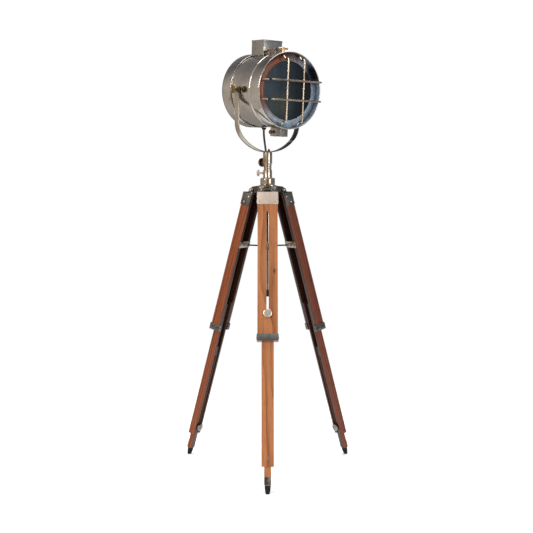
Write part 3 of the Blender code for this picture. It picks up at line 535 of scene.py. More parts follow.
def make_crown():
    """The spider's metal: bright round the cup, with painted dark reflections on its arms."""
    finish = metal("nickel_crown", "beb4a6", "8a7d70", 0.11)
    x, y = finish.axes()[:2]
    reach = finish.distance(x, y)
    plain = finish.painted()
    # Painted dark reflection: past the cup's radius the metal turns dark, out along the arms.
    painted_arm_shade = finish.spread(reach, CUP_RADIUS, CUP_RADIUS + 0.0025, 0, 0.85)
    finish.paint(finish.mix(painted_arm_shade, plain, rgba("3d3933")))
    return finish.material


def make_yoke_metal():
    """The strap's metal in painted reflections: pale on the lead's side, dark slate on the other, with one
    painted pale highlight.
    """
    finish = metal("nickel_yoke", "b3aa9c", "82766a", 0.13, 0.0006)
    _, y, z = finish.axes()[:3]
    plain = finish.painted()
    # Painted dark reflection: the strap turns dark slate away from the lead's side.
    painted_dark_side = finish.mix(finish.spread(y, 0.010, 0.050, 0, 0.88), plain, rgba("2f3338"))
    # Painted highlight: a pale blue band across the strap at one height, on its dark side.
    off = finish.math("ABSOLUTE", finish.math("SUBTRACT", z, 1.2150))
    painted_pale_highlight = finish.math(
        "MULTIPLY", finish.spread(off, 0.0025, 0.0045, 0.9, 0), finish.spread(y, 0.03, 0.05, 0, 1)
    )
    finish.paint(finish.mix(painted_pale_highlight, painted_dark_side, rgba("c4d4ea")))
    return finish.material


CROWN, YOKE_METAL = make_crown(), make_yoke_metal()

# Painted light and shade: each leg gets its own copy of the teak, lighter for the front leg and darker for
# the left and right legs.
TEAK_SHADED_BY_LEG = {
    "front": ((rgb("9c6239"), rgb("703d1d"), rgb("341a0b")), 1.3, ((UPPER_OUT, 0.024, -0.302), 0.0045)),
    "left": ((rgb("844016"), rgb("4a1f0b"), rgb("1b0a04")), 4.1, None),
    "right": ((rgb("70341a"), rgb("3e1a0c"), rgb("180904")), 7.7, None)
}
WOODS = {
    (leg, part): wood(f"teak_{leg}_{part}", *tones, seed + extra, hollow, knot if part == "upper" else None)
    for leg, (tones, seed, knot) in TEAK_SHADED_BY_LEG.items()
    for part, extra, hollow in (
        ("upper", 0.0, (CHANNEL_WIDTH, CHANNEL_FLOOR)), ("middle", 11.0, (GROOVE_WIDTH, GROOVE_FLOOR)),
        ("lower", 23.0, (0.0, LOWER_IN))
    )
}


def make_rubber():
    finish = Finish("rubber", {"Specular IOR Level": 0.2})
    dust = finish.spread(finish.noise(60, detail=5), 0.45, 0.8, 0, 1)
    finish.paint(finish.mix(dust, rgba("08090a"), rgba("17181a")))
    finish.roughen(finish.spread(dust, 0, 1, 0.45, 0.75))
    finish.bump(finish.noise(900, detail=2), 0.00005, 0.6)
    return finish.material


def make_cable():
    finish = Finish("cable", {"Specular IOR Level": 0.45})
    wear = finish.noise(120, detail=4)
    finish.paint(finish.mix(wear, rgba("1c1f22"), rgba("34383c")))
    finish.roughen(finish.spread(wear, 0.3, 0.7, 0.38, 0.6))
    finish.bump(finish.noise(1, (700, 700, 700), 2), 0.00004, 0.5)
    return finish.material


def make_glass():
    """Dark glass in painted reflections: slate blue towards the drum's left, near black on its right, a
    painted soft glow low and left.
    """
    finish = Finish("lens_glass", {"Coat Weight": 0.05, "Coat Roughness": 0.08, "Specular IOR Level": 0.2})
    _, y, z = finish.axes()[:3]
    # Painted reflection: the glass goes from slate blue to near black across the drum.
    side = finish.spread(y, -0.075, 0.060, 0, 1)
    colour = finish.mix(side, rgba("333e46"), rgba("111416"))
    # Painted reflection: a soft pale glow low and left on the glass.
    height = finish.math("DIVIDE", finish.math("ADD", z, 0.052), 0.042)
    across = finish.math("DIVIDE", finish.math("ADD", y, 0.028), 0.050)
    gap = finish.distance(height, across)
    glow = finish.spread(
        finish.math("ADD", gap, finish.math("MULTIPLY", finish.noise(25, detail=3), 0.4)), 0.2, 1.5, 0.8, 0
    )
    colour = finish.mix(glow, colour, rgba("43463b"))
    haze = finish.spread(finish.noise(22, detail=6), 0.4, 0.75, 0, 0.25)
    finish.paint(finish.mix(haze, colour, rgba("232a2e")))
    finish.roughen(finish.spread(haze, 0, 0.35, 0.16, 0.34))
    finish.bump(finish.noise(38, detail=1), 0.0004, 0.5)
    return finish.material


def make_hood_inside():
    """The hood's inner wall in painted reflections: brown above and left, pale blue on the right and below,
    and one painted dark reflection high on the right.
    """
    finish = Finish("hood_inside", {"Metallic": 0.5})
    _, y, z = finish.axes()[:3]
    # Painted reflections: brown to pale blue across the wall, paler still towards the bottom.
    side = finish.spread(y, -0.04, 0.09, 0, 1)
    colour = finish.mix(side, rgba("8a5844"), rgba("98a4b2"))
    low = finish.spread(z, -0.110, -0.045, 1, 0)
    colour = finish.mix(low, colour, rgba("a4b2be"))
    # Painted dark reflection: one dark spot high on the right of the wall.
    reach = finish.math(
        "ADD", finish.math("POWER", finish.math("ADD", y, -0.105), 2.0),
        finish.math("POWER", finish.math("ADD", z, -0.062), 2.0)
    )
    colour = finish.mix(finish.spread(reach, 0.0004, 0.0020, 1, 0), colour, rgba("232a38"))
    cloud = finish.noise(18, detail=5)
    finish.paint(finish.mix(finish.spread(cloud, 0.4, 0.7, 0, 0.5), colour, rgba("3b332f")))
    finish.roughen(finish.spread(cloud, 0.3, 0.7, 0.16, 0.34))
    finish.bump(finish.noise(9, detail=2), 0.0010, 1.0)
    return finish.material


def make_bulb():
    finish = Finish("bulb_glass", {"Transmission Weight": 0.25, "IOR": 1.46})
    cloud = finish.noise(30, detail=3)
    finish.paint(finish.mix(cloud, rgba("f2efe6"), rgba("e2dccd")))
    finish.roughen(finish.spread(cloud, 0.3, 0.7, 0.18, 0.3))
    return finish.material


def make_phenolic():
    finish = Finish("phenolic", {"Specular IOR Level": 0.4})
    cloud = finish.noise(70, detail=5)
    finish.paint(finish.mix(cloud, rgba("1a1817"), rgba("2b2724")))
    finish.roughen(finish.spread(cloud, 0.3, 0.7, 0.35, 0.55))
    finish.bump(finish.noise(500, detail=2), 0.00004, 0.5)
    return finish.material


RUBBER, CABLE, GLASS = make_rubber(), make_cable(), make_glass()
HOOD_INSIDE, BULB, PHENOLIC = make_hood_inside(), make_bulb(), make_phenolic()


# Head
def around(angle, radius, along):
    """A place on the drum with local z pointing out, at an angle from the top towards the drum's right."""
    return turn("X", -angle) @ shift(along, 0, radius)


def studs(radius, height, places):
    dome = lathe(
        [
            (0, height), (radius * 0.55, height * 0.9), (radius * 0.92, height * 0.45), (radius, -0.0004),
            (0, -0.0004)
        ], radius * 0.3, 16
    )
    return joined(*(moved(dome, place) for place in places))


def bent_sheet(radius, thick, rear, front, start, end, steps=24):
    """A sheet bent round the drum, between two angles from the top."""
    shape = bmesh.new()
    rows = []
    for i in range(steps + 1):
        angle = math.radians(start + (end - start) * i / steps)
        rows.append(
            [
                shape.verts.new((a, math.sin(angle) * r, math.cos(angle) * r))
                for a, r in (
                    (rear, radius), (front, radius), (front, radius + thick), (rear, radius + thick)
                )
            ]
        )
    for low, high in zip(rows, rows[1:]):
        for k in range(4):
            shape.faces.new((low[k], low[(k + 1) % 4], high[(k + 1) % 4], high[k]))
    shape.faces.new(rows[0])
    shape.faces.new(rows[-1])
    return as_mesh(shape)


def drum_room():
    """Cutters for the drum's body, rear cover, bead and hood."""
    spans = (
        (BODY_RADIUS + 0.0016, -0.12, 0.15), (COVER_RADIUS, -0.12, COVER_FRONT + GAP),
        (BEAD_RADIUS, BEAD_FROM - 0.001, BEAD_TO + 0.001), (HOOD_RADIUS, HOOD_REAR - GAP, 0.16)
    )
    return [rod((low, 0, 0), (high, 0, 0), radius + GAP, 128) for radius, low, high in spans]


def build_drum():
    inner = BODY_RADIUS - BODY_WALL
    middle, half = (BEAD_FROM + BEAD_TO) / 2, (BEAD_TO - BEAD_FROM) / 2
    rise = BEAD_RADIUS - BODY_RADIUS
    bead = [(math.cos(math.pi * i / 14), math.sin(math.pi * i / 14)) for i in range(15)]
    profile = [(BODY_RADIUS, BODY_FRONT)]
    profile += [(BODY_RADIUS + rise * s, middle + half * c) for c, s in bead]
    profile += [(BODY_RADIUS, BODY_REAR), (inner, BODY_REAR)]
    profile += [(inner + rise * s, middle + (half - BODY_WALL) * c) for c, s in reversed(bead)]
    profile += [(inner, BODY_FRONT)]
    on_head("drum_body", lathe(profile, 0.0008, DRUM_STEPS, True, FORWARD), DRUM, "nickel", "drum_shell")
    bosses = []
    for side in (-1, 1):
        aim = turn("X", -90 * side)
        shape = [
            (0, TRUNNION_END), (0.0090, TRUNNION_END), (0.0090, BODY_RADIUS - 0.0010),
            (0, BODY_RADIUS - 0.0010)
        ]
        bosses.append(lathe(shape, 0.0004, SMALL_STEPS, matrix=aim))
    on_head("pivot_bosses", joined(*bosses), NICKEL_FINE, "nickel")


def build_cover():
    wall, lip, rim, back = 0.0014, BODY_RADIUS + 2 * GAP, COVER_RADIUS, COVER_REAR
    dish = back + 0.0045
    profile = [
        (0, dish + wall), (0.1120, dish + wall), (0.1180, back + wall), (rim - wall, back + wall),
        (rim - wall, COVER_FRONT - wall), (lip, COVER_FRONT - wall), (lip, COVER_FRONT),
        (rim - 0.0008, COVER_FRONT), (rim, COVER_FRONT - 0.0012), (rim, back + 0.0030),
        (rim - 0.0024, back), (0.1170, back), (0.1110, dish), (0.0640, dish), (0.0610, dish - 0.0018),
        (0.0560, dish - 0.0018), (0.0530, dish), (0, dish)
    ]
    on_head("rear_shell", lathe(profile, 0.0012, DRUM_STEPS, matrix=FORWARD), DRUM, "nickel", "rear_cover")
    # Painted shade: the rolled rear edge of the nickel cover is a ring of dark metal.
    roll = [
        (rim - 0.0012 + 0.0016 * math.cos(a), back + 0.0016 + 0.0016 * math.sin(a))
        for a in (2 * math.pi * i / 12 for i in range(12))
    ]
    on_head("rear_roll", lathe(roll, 0.0001, DRUM_STEPS, True, FORWARD), DARK_METAL, "nickel")
    seam = [
        (rim + 0.0003, COVER_FRONT - 0.0024), (rim + 0.0003, COVER_FRONT - 0.0014),
        (rim - 0.0006, COVER_FRONT - 0.0013), (rim - 0.0006, COVER_FRONT - 0.0025)
    ]
    on_head("rear_seam", lathe(seam, 0.0003, DRUM_STEPS, True, FORWARD), DARK_METAL, "nickel")
    cap = [
        (0, dish - 0.0062), (0.0085, dish - 0.0058), (0.0125, dish - 0.0036), (0.0125, dish + 0.0003),
        (0, dish + 0.0003)
    ]
    on_head("rear_cap", lathe(cap, 0.0012, SMALL_STEPS, matrix=FORWARD), NICKEL_FINE, "nickel")
    screws = [
        screw_mesh(0.0036, 0.0022, (dish - 0.0001, 0.088 * math.sin(a), 0.088 * math.cos(a)), (-1, 0, 0))
        for a in (math.radians(45 + 90 * i) for i in range(4))
    ]
    on_head("rear_screws", joined(*screws), BRONZE, "bronze")


def build_rivets():
    angles = [15 + 30 * i for i in range(12)]
    rear = [around(a, COVER_RADIUS, COVER_FRONT - 0.0085) for a in angles]
    body = [around(a, BODY_RADIUS, COVER_FRONT + 0.0060) for a in angles]
    on_head(
        "seam_rivets", joined(studs(0.0026, 0.0014, rear), studs(0.0026, 0.0014, body)), DARK_METAL,
        "nickel"
    )


def build_hood():
    wall, lip, rim = HOOD_WALL, BODY_RADIUS + 2 * GAP, HOOD_RADIUS
    centre = (rim - 0.0006, HOOD_FRONT - 0.0018)
    bead = arc(centre, 0.0018, 190, -150, 16)
    profile = [(rim - wall, HOOD_FRONT - 0.0036)] + bead + [
        (rim, HOOD_FRONT - 0.0046), (rim, HOOD_REAR + 0.0020), (rim - 0.0018, HOOD_REAR), (lip, HOOD_REAR),
        (lip, HOOD_REAR + wall), (rim - wall, HOOD_REAR + wall)
    ]
    mesh = lathe(profile, 0.0006, DRUM_STEPS, True, FORWARD)
    hood = on_head("hood", mesh, DRUM, "nickel", "front_hood")
    # The inner faces take the hood_inside finish and its painted reflections.
    mesh.materials.append(HOOD_INSIDE)
    for face in mesh.polygons:
        outward = Vector((0, face.center.y, face.center.z)).normalized()
        if outward.dot(face.normal) < -0.5 and face.center.x > HOOD_REAR + 0.004:
            face.material_index = 1
    return hood


def build_lens():
    wall = HOOD_RADIUS - HOOD_WALL - GAP
    seat = LENS_RADIUS + GAP
    profile = [
        (seat - 0.0033, 0.1245), (0.1115, 0.1245), (wall, 0.1125), (wall, 0.1100), (0.1130, 0.1205),
        (0.1120, 0.1150), (seat, 0.1150), (seat, LENS_EDGE + GAP), (seat - 0.0033, LENS_EDGE + GAP)
    ]
    # The bezel takes the hood_inside finish, with its painted reflections.
    on_head("bezel", lathe(profile, 0.0007, DRUM_STEPS, True, FORWARD), HOOD_INSIDE, "nickel", "lens_bezel")
    edge = LENS_RADIUS - 0.0036
    dome = [(edge * i / 20, LENS_EDGE + LENS_DOME * (1 - (i / 20) ** 2)) for i in range(21)]
    profile = dome + [(LENS_RADIUS, LENS_EDGE), (LENS_RADIUS, LENS_REAR), (0, LENS_REAR)]
    on_head("lens", lathe(profile, 0.0003, 128, matrix=FORWARD), GLASS, "lens_glass", "glass_lens")


def cage_wire(offset, reach, upright):
    """A guard wire between two bends, whose ends run back and kink outward to the hood's wall."""
    wall = HOOD_RADIUS - HOOD_WALL - 2 * GAP - CAGE_WIRE
    end = math.sqrt(wall * wall - offset * offset)
    plane = CAGE_PLANE - (0.0052 if upright else 0.0)
    halves = []
    for bend in (abs(reach[0]), abs(reach[1])):
        kink = end - bend
        halves.append(
            [
                (bend, plane), (bend + 0.0042, plane - 0.0014), (bend + 0.0056, plane - 0.0055),
                (bend + kink * 0.22, 0.1480), (bend + kink * 0.62, 0.1400), (end - 0.0015, 0.1285),
                (end, 0.1235), (end, CAGE_END)
            ]
        )
    path = [(-across, ahead) for across, ahead in reversed(halves[0])] + halves[1]
    if upright:
        return [(ahead, offset, across) for across, ahead in path]
    return [(ahead, across, offset) for across, ahead in path]


def build_cage():
    # The rows take the darker wire as painted shade, and the columns take the plain wire.
    for name, upright, offsets, reach, material in (
            ("guard_rows", False, CAGE_ROWS, ROW_REACH, WIRE_SHADED),
            ("guard_columns", True, CAGE_COLUMNS, COLUMN_REACH, WIRE)
    ):
        wires = [
            tube(fillet(cage_wire(offset, reach, upright), 0.006, 6), CAGE_WIRE, 18) for offset in offsets
        ]
        replaced = () if upright else ("cage_guard",)
        on_head(name, joined(*wires, sharp=50), material, "satin_nickel", *replaced)
    wall = HOOD_RADIUS - HOOD_WALL - 2 * GAP - 2 * CAGE_WIRE
    screws = []
    for offsets, upright in ((CAGE_ROWS, False), (CAGE_COLUMNS, True)):
        for offset in offsets:
            for end in (-1, 1):
                across = end * (math.sqrt((wall + CAGE_WIRE) ** 2 - offset**2) - CAGE_WIRE)
                at = (CAGE_END + 0.0050, offset, across) if upright else (CAGE_END + 0.0050, across, offset)
                inward = Vector((0, -at[1], 0)) if not upright else Vector((0, 0, -at[2]))
                screws.append(screw_mesh(0.0034, 0.0020, at, inward))
    on_head("guard_screws", joined(*screws), DARK_METAL, "nickel")


def build_vent():
    rear, front = VENT_CENTRE - VENT_LENGTH / 2, VENT_CENTRE + VENT_LENGTH / 2
    half = VENT_WIDTH / 2
    room = drum_room()[:2]
    lid = VENT_TOP - 0.0012
    body = carved(
        block(
            (rear + 0.0006, -half + 0.0006, 0.100), (front - 0.0006, half - 0.0006, lid - 0.0002), 0.0010
        ), *room
    )
    on_head("vent_body", body, SHEET, "nickel", "vent_box")
    top = block((rear, -half, lid), (front, half, VENT_TOP), 0.0004)
    fold = [
        block((rear, -half, lid - 0.0050), (rear + 0.0006, half, lid), 0.0002),
        block((front - 0.0006, -half, lid - 0.0050), (front, half, lid), 0.0002)
    ]
    for side in (-1, 1):
        outer, inner = side * half, side * (half - 0.0006)
        fold.append(block((rear, min(outer, inner), lid - 0.0050), (front, max(outer, inner), lid), 0.0002))
    on_head("vent_lid", joined(top, *fold), SHEET, "nickel")
    spread = math.degrees(math.asin((half + 0.0055) / BODY_RADIUS))
    flange = bent_sheet(BODY_RADIUS + GAP, 0.0010, COVER_FRONT + 0.0004, front + 0.0055, -spread, spread)
    places = [
        around(side * (spread - 1.3), BODY_RADIUS + 0.0012, a) for side in (-1, 1)
        for a in (-0.034, 0.0, 0.024)
    ]
    on_head("vent_flange", flange, SHEET, "nickel")
    on_head("vent_rivets", studs(0.0016, 0.0010, places), NICKEL_FINE, "nickel")


def build_switch():
    half = SWITCH_WIDTH / 2
    room = drum_room()
    lid = SWITCH_BOTTOM + 0.0012
    body = block((SWITCH_REAR, -half, lid + 0.0002), (SWITCH_FRONT, half, -0.100), 0.0010)
    on_head("switch_body", carved(body, *room), SHEET, "nickel", "switch_box")
    base = block(
        (SWITCH_REAR - 0.0003, -half - 0.0003, SWITCH_BOTTOM), (SWITCH_FRONT + 0.0003, half + 0.0003, lid),
        0.0004
    )
    on_head("switch_lid", base, SHEET, "nickel")
    screws = [
        screw_mesh(0.0024, 0.0012, (a, 0, SWITCH_BOTTOM), (0, 0, -1))
        for a in (SWITCH_REAR + 0.008, SWITCH_FRONT - 0.008)
    ]
    screws += [
        screw_mesh(0.0020, 0.0011, (SWITCH_FRONT, y, SWITCH_BOTTOM + 0.0075), (1, 0, 0))
        for y in mirrored(0.0105)
    ]
    on_head("switch_screws", joined(*screws), BRONZE, "bronze")
    at = HEAD @ shift(0.0600, -half - GAP, -0.1480) @ turn("X", 90)
    profile = [
        (0, 0.0105), (0.0070, 0.0105), (0.0078, 0.0095), (0.0078, 0.0045), (0.0035, 0.0040), (0.0035, 0),
        (0, 0)
    ]
    knob = lathe(profile, 0.0006, 96, flutes=(16, 0.07, 0.006))
    mark = block((-0.0004, 0.0015, 0.0103), (0.0004, 0.0066, 0.0109), 0.0001)
    add("switch_dial", joined(knob, mark), BRONZE, at, "switch_knob", "bronze", "switch_knob")
    top = -BODY_RADIUS - 0.0012
    profile = [
        (LEAD_RADIUS + 0.0001, top), (GLAND_RADIUS + 0.002, top), (GLAND_RADIUS + 0.002, top - 0.0028),
        (GLAND_RADIUS - 0.0006, top - 0.0031), (GLAND_RADIUS, top - 0.0036),
        (GLAND_RADIUS - 0.0010, top - 0.0062), (0.0052, GLAND_BOTTOM), (LEAD_RADIUS + 0.0001, GLAND_BOTTOM)
    ]
    gland = lathe(profile, 0.0005, 96, True, flutes=(12, 0.05, 0.0062))
    add("gland", gland, DARK_METAL, HEAD @ shift(GLAND_AT, 0, 0), "head", "bronze", "cord_gland")


def build_hood_screws():
    foot = math.sqrt(BODY_RADIUS**2 - (HOOD_SCREW_U - 0.006) ** 2) + GAP
    for name, side, top, heading in (("left", -1, 0.1410, -35.7), ("right", 1, 0.1535, 54.3)):
        at = HEAD @ shift(HOOD_SCREW_AT, side * HOOD_SCREW_U, 0) @ turn("Z", heading)
        stem = lathe(
            [
                (0, top + 0.0056), (0.0052, top + 0.0046), (0.0060, top), (0.0056, top - 0.004),
                (0.0056, foot + 0.005), (0.0066, foot + 0.0045), (0.0066, foot + 0.0012), (0.0058, foot),
                (0, foot)
            ], 0.0006, 48
        )
        profile = [
            (0, -0.0172), (0.0044, -0.0168), (0.0051, -0.0140), (0.0045, -0.0100), (0.0045, 0.0100),
            (0.0051, 0.0140), (0.0044, 0.0168), (0, 0.0172)
        ]
        bar = lathe(profile, 0.0012, 32, matrix=shift(0, 0, top) @ FORWARD)
        material = BRASS if name == "right" else BRONZE
        add(
            f"tee_screw_{name}", carved(stem, bar, operation="UNION"), material, at, f"hood_screw_{name}",
            "bronze", f"hood_screw_{name}"
        )


def build_bulb():
    back = COVER_REAR + 0.0045 + 0.0014 + GAP
    profile = [
        (0, back + 0.058), (0.0170, back + 0.058), (0.0190, back + 0.054), (0.0190, back + 0.036),
        (0.0182, back + 0.034), (0.0190, back + 0.032), (0.0190, back + 0.012), (0.0260, back + 0.010),
        (0.0260, back), (0, back)
    ]
    on_head("holder", lathe(profile, 0.0012, 64, matrix=FORWARD), PHENOLIC, "black_plastic", "lamp_holder")
    back += GAP + 0.058
    centre = back + 0.0600
    profile = [
        (0.03 * math.cos(a), centre + 0.03 * math.sin(a))
        for a in (math.radians(90 - 130 * i / 32) for i in range(33))
    ]
    profile[0] = (0, centre + 0.03)
    profile += [(0.0140, back + 0.0180), (0.0130, back), (0, back)]
    on_head("lamp_bulb", lathe(profile, 0.004, 64, matrix=FORWARD), BULB, "bulb_glass", "bulb")


for build in (
        build_drum, build_cover, build_rivets, build_hood, build_lens, build_cage, build_vent, build_switch,
        build_hood_screws, build_bulb
):
    build()


# Yoke, with its knobs and the lead
def strap_edge(offset):
    """One edge of the yoke strap in (u, z), offset from its middle line, from the left tip to the right."""
    bend = PIVOT_SPAN - BEND_RADIUS
    angle = math.degrees(math.acos(bend / (HOOP_RADIUS - BEND_RADIUS)))
    centre = YOKE_FOOT + HOOP_RADIUS
    bend_centre = centre - math.sqrt((HOOP_RADIUS - BEND_RADIUS) ** 2 - bend**2)
    tip = TILT_HEIGHT + 0.0115
    edge = [(-PIVOT_SPAN - offset, tip)] + arc(
        (-bend, bend_centre), BEND_RADIUS + offset, 180, 180 + angle, 32
    )
    edge += arc((0, centre), HOOP_RADIUS + offset, 180 + angle, 360 - angle, 60)[1:-1]
    return edge + arc(
        (bend, bend_centre), BEND_RADIUS + offset, 360 - angle, 360, 32
    ) + [(PIVOT_SPAN + offset, tip)]


def build_yoke():
    outline = strap_edge(YOKE_THICK / 2) + list(reversed(strap_edge(-YOKE_THICK / 2)))
    strap = plate(outline, YOKE_WIDTH, 0.0007, turn("Z", 90) @ turn("X", 90))
    stem_room = rod((0, -0.2, TILT_HEIGHT), (0, 0.2, TILT_HEIGHT), 0.0053, 48)
    lead_room = rod((0, LEAD_HOLE_U, SOCKET_TOP - 0.01), (0, LEAD_HOLE_U, SOCKET_TOP + 0.02), 0.0054, 48)
    half = YOKE_WIDTH / 2
    corner = [(-half - 0.01, 0)] + arc((0, 0), half - 0.0002, 180, 0, 20) + [
        (half + 0.01, 0), (half + 0.01, 0.03), (-half - 0.01, 0.03)
    ]
    shape = moved(plate(corner, 0.6, 0.00005), shift(0, 0, TILT_HEIGHT - 0.0018) @ turn("X", 90))
    add(
        "yoke_hoop", carved(strap, stem_room, lead_room, shape), YOKE_METAL, YOKE, "yoke", "nickel",
        "yoke_strap"
    )
    foot = SOCKET_TOP
    nut = lathe(
        [(0, foot + 0.0090), (0.0050, foot + 0.0090), (0.0050, foot + 0.0005), (0, foot + 0.0005)], 0.0006,
        6
    )
    stud = lathe(
        [(0, foot + 0.0130), (0.0028, foot + 0.0130), (0.0028, foot + 0.0010), (0, foot + 0.0010)], 0.0005,
        32
    )
    both = carved(nut, stud, operation="UNION")
    add("cable_clamp", both, BRONZE, YOKE @ shift(0, CABLE_NUT_U, 0), "yoke", "bronze")
    grommet = [
        (LEAD_RADIUS + 0.0002, foot + 0.0052), (0.0062, foot + 0.0046), (0.0066, foot + 0.0022),
        (0.0052, foot + 0.0016), (0.0052, foot - 0.0012), (LEAD_RADIUS + 0.0002, foot - 0.0012)
    ]
    add(
        "lead_grommet", lathe(grommet, 0.0006, SMALL_STEPS, True), RUBBER, YOKE @ shift(0, LEAD_HOLE_U, 0),
        "yoke", "rubber"
    )
    washers = []
    for side in (-1, 1):
        start = PIVOT_SPAN + 0.0018
        ring = [
            (0.0052, start), (0.0098, start), (0.0092, start + 0.0030), (0.0078, start + 0.0042),
            (0.0052, start + 0.0042)
        ]
        washers.append(lathe(ring, 0.0005, SMALL_STEPS, True, turn("X", -90 * side)))
    add("yoke_washers", moved(joined(*washers), shift(0, 0, TILT_HEIGHT)), BRASS_DARK, YOKE, "yoke", "nickel")


def knob(radius, inner, outer, stem_radius, stem_end, flutes=30):
    """A fluted disc knob with a dished face and a hub, on a stem that runs down from it."""
    profile = [
        (0, outer - 0.0008), (radius * 0.30, outer - 0.0008), (radius * 0.36, outer - 0.0014),
        (radius * 0.72, outer - 0.0014), (radius * 0.80, outer), (radius, outer - 0.0006),
        (radius, inner + 0.0008), (radius * 0.55, inner), (stem_radius * 1.45, inner),
        (stem_radius * 1.45, inner - 0.0028), (stem_radius, inner - 0.0032), (stem_radius, stem_end),
        (0, stem_end)
    ]
    return lathe(profile, 0.0007, flutes * 6, flutes=(flutes, 0.035, radius * 0.9))


def build_knobs():
    for name, side in (("left", -1), ("right", 1)):
        at = YOKE @ shift(0, 0, TILT_HEIGHT) @ turn("X", -90 * side)
        mesh = knob(KNOB_RADIUS, PIVOT_SPAN + 0.0113, PIVOT_SPAN + 0.0183, 0.0048, TRUNNION_END + GAP)
        add(f"tilt_wheel_{name}", mesh, BRASS_DARK, at, f"tilt_knob_{name}", "bronze", f"tilt_knob_{name}")
    at = COLUMN @ shift(0, 0, PAN_KNOB_AT) @ Matrix.Rotation(PAN_KNOB_DIRECTION, 4, "Z") @ FORWARD
    mesh = knob(0.0165, 0.0280, 0.0350, 0.0045, SOCKET_RADIUS + GAP)
    add("pan_wheel", mesh, BRONZE, at, "pan_knob", "bronze", "pan_knob")


def lead_route(count):
    """Points down the head lead, from the gland to the hole in the yoke's foot, in the yoke's frame."""
    mouth_x = GLAND_AT * math.cos(HEAD_PITCH) + GLAND_BOTTOM * math.sin(HEAD_PITCH)
    mouth_z = TILT_HEIGHT - GLAND_AT * math.sin(HEAD_PITCH) + GLAND_BOTTOM * math.cos(HEAD_PITCH)
    out = Vector((-math.sin(HEAD_PITCH), 0, -math.cos(HEAD_PITCH)))
    start = Vector((mouth_x, 0, mouth_z)) + out * GAP
    end = Vector((0, LEAD_HOLE_U, SOCKET_TOP - 0.006))
    drop = (start.z - end.z) / 3
    first, second = start + out * drop, end + Vector((-0.002, -0.001, drop))
    return [
        (1 - t) ** 3 * start + 3 * (1 - t) ** 2 * t * first + 3 * (1 - t) * t * t * second + t**3 * end
        for t in (i / (count - 1) for i in range(count))
    ]


def build_lead():
    route = [YOKE @ point for point in lead_route(33)]
    mesh = tube(route, LEAD_RADIUS, 24)
    mesh.materials.append(CABLE)
    lead = bpy.data.objects.new("lead", mesh)
    bpy.context.scene.collection.objects.link(lead)
    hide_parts("head_lead")
    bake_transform(lead)


for build in (build_yoke, build_knobs, build_lead):
    build()


# Post and tripod head
def build_post():
    ring_end = SLEEVE_TOP + GAP
    profile = [
        (POST_BORE, SOCKET_TOP - 0.012), (SPIGOT_RADIUS, SOCKET_TOP - 0.012), (SPIGOT_RADIUS, RING_TOP),
        (RING_RADIUS, RING_TOP)
    ]
    for groove in (RING_TOP - 0.0055, RING_TOP - 0.0120):
        profile += [
            (RING_RADIUS, groove), (RING_RADIUS - 0.001, groove - 0.0008),
            (RING_RADIUS - 0.001, groove - 0.0018), (RING_RADIUS, groove - 0.0026)
        ]
    profile += [
        (RING_RADIUS, ring_end), (POST_RADIUS, ring_end), (POST_RADIUS, POST_END), (POST_BORE, POST_END)
    ]
    add(
        "post_tube", lathe(profile, 0.0004, TUBE_STEPS, True), POST_METAL, COLUMN, "post", "nickel",
        "centre_post"
    )
    bore, low = SPIGOT_RADIUS + GAP, RING_TOP + GAP
    profile = [
        (bore, SOCKET_TOP), (SOCKET_RADIUS - 0.0004, SOCKET_TOP), (SOCKET_RADIUS, SOCKET_TOP - 0.0030),
        (SOCKET_RADIUS, low + 0.0048), (SOCKET_RADIUS - 0.0012, low + 0.0038),
        (SOCKET_RADIUS - 0.0012, low + 0.0012), (SOCKET_RADIUS - 0.0020, low), (bore, low)
    ]
    add(
        "socket_tube", lathe(profile, 0.0005, TUBE_STEPS, True), POST_METAL, YOKE, "yoke", "nickel",
        "yoke_socket"
    )
    bore, foot = POST_RADIUS + GAP, CUP_TOP + GAP
    profile = [
        (bore, SLEEVE_TOP), (SLEEVE_RADIUS - 0.0006, SLEEVE_TOP), (SLEEVE_RADIUS, SLEEVE_TOP - 0.0008),
        (SLEEVE_RADIUS, SLEEVE_TOP - 0.0050), (SLEEVE_RADIUS - 0.0007, SLEEVE_TOP - 0.0056),
        (SLEEVE_RADIUS, SLEEVE_TOP - 0.0064), (SLEEVE_RADIUS, COLLAR_TOP),
        (COLLAR_RADIUS - 0.0050, COLLAR_TOP - 0.0002), (COLLAR_RADIUS - 0.0014, COLLAR_TOP - 0.0015),
        (COLLAR_RADIUS, COLLAR_TOP - 0.0050), (COLLAR_RADIUS, foot + 0.0046),
        (COLLAR_RADIUS - 0.0007, foot + 0.0040), (COLLAR_RADIUS - 0.0007, foot + 0.0032),
        (COLLAR_RADIUS, foot + 0.0026), (COLLAR_RADIUS - 0.0010, foot), (bore, foot)
    ]
    add(
        "clamp_collar", lathe(profile, 0.0009, TUBE_STEPS, True), POST_METAL, COLUMN, "stand", "nickel",
        "height_collar"
    )
    axis = COLUMN @ shift(0, 0, HEIGHT_SCREW_AT) @ turn("Z", 180)
    start = SLEEVE_RADIUS + GAP
    stem = lathe(
        [
            (0, start), (0.0048, start), (0.0048, start + 0.0040), (0.0033, start + 0.0046),
            (0.0033, 0.0345), (0, 0.0345)
        ], 0.0005, 40, matrix=FORWARD
    )
    wing = plate(
        [
            (0.0345 + 0.0062 * math.cos(a), 0.0123 * math.sin(a))
            for a in (2 * math.pi * i / 48 for i in range(48))
        ], 0.0042, 0.0014, turn("X", 90), segments=4
    )
    add(
        "height_thumbscrew", carved(stem, wing, operation="UNION"), KNOB_METAL, axis, "height_screw",
        "nickel", "height_screw"
    )


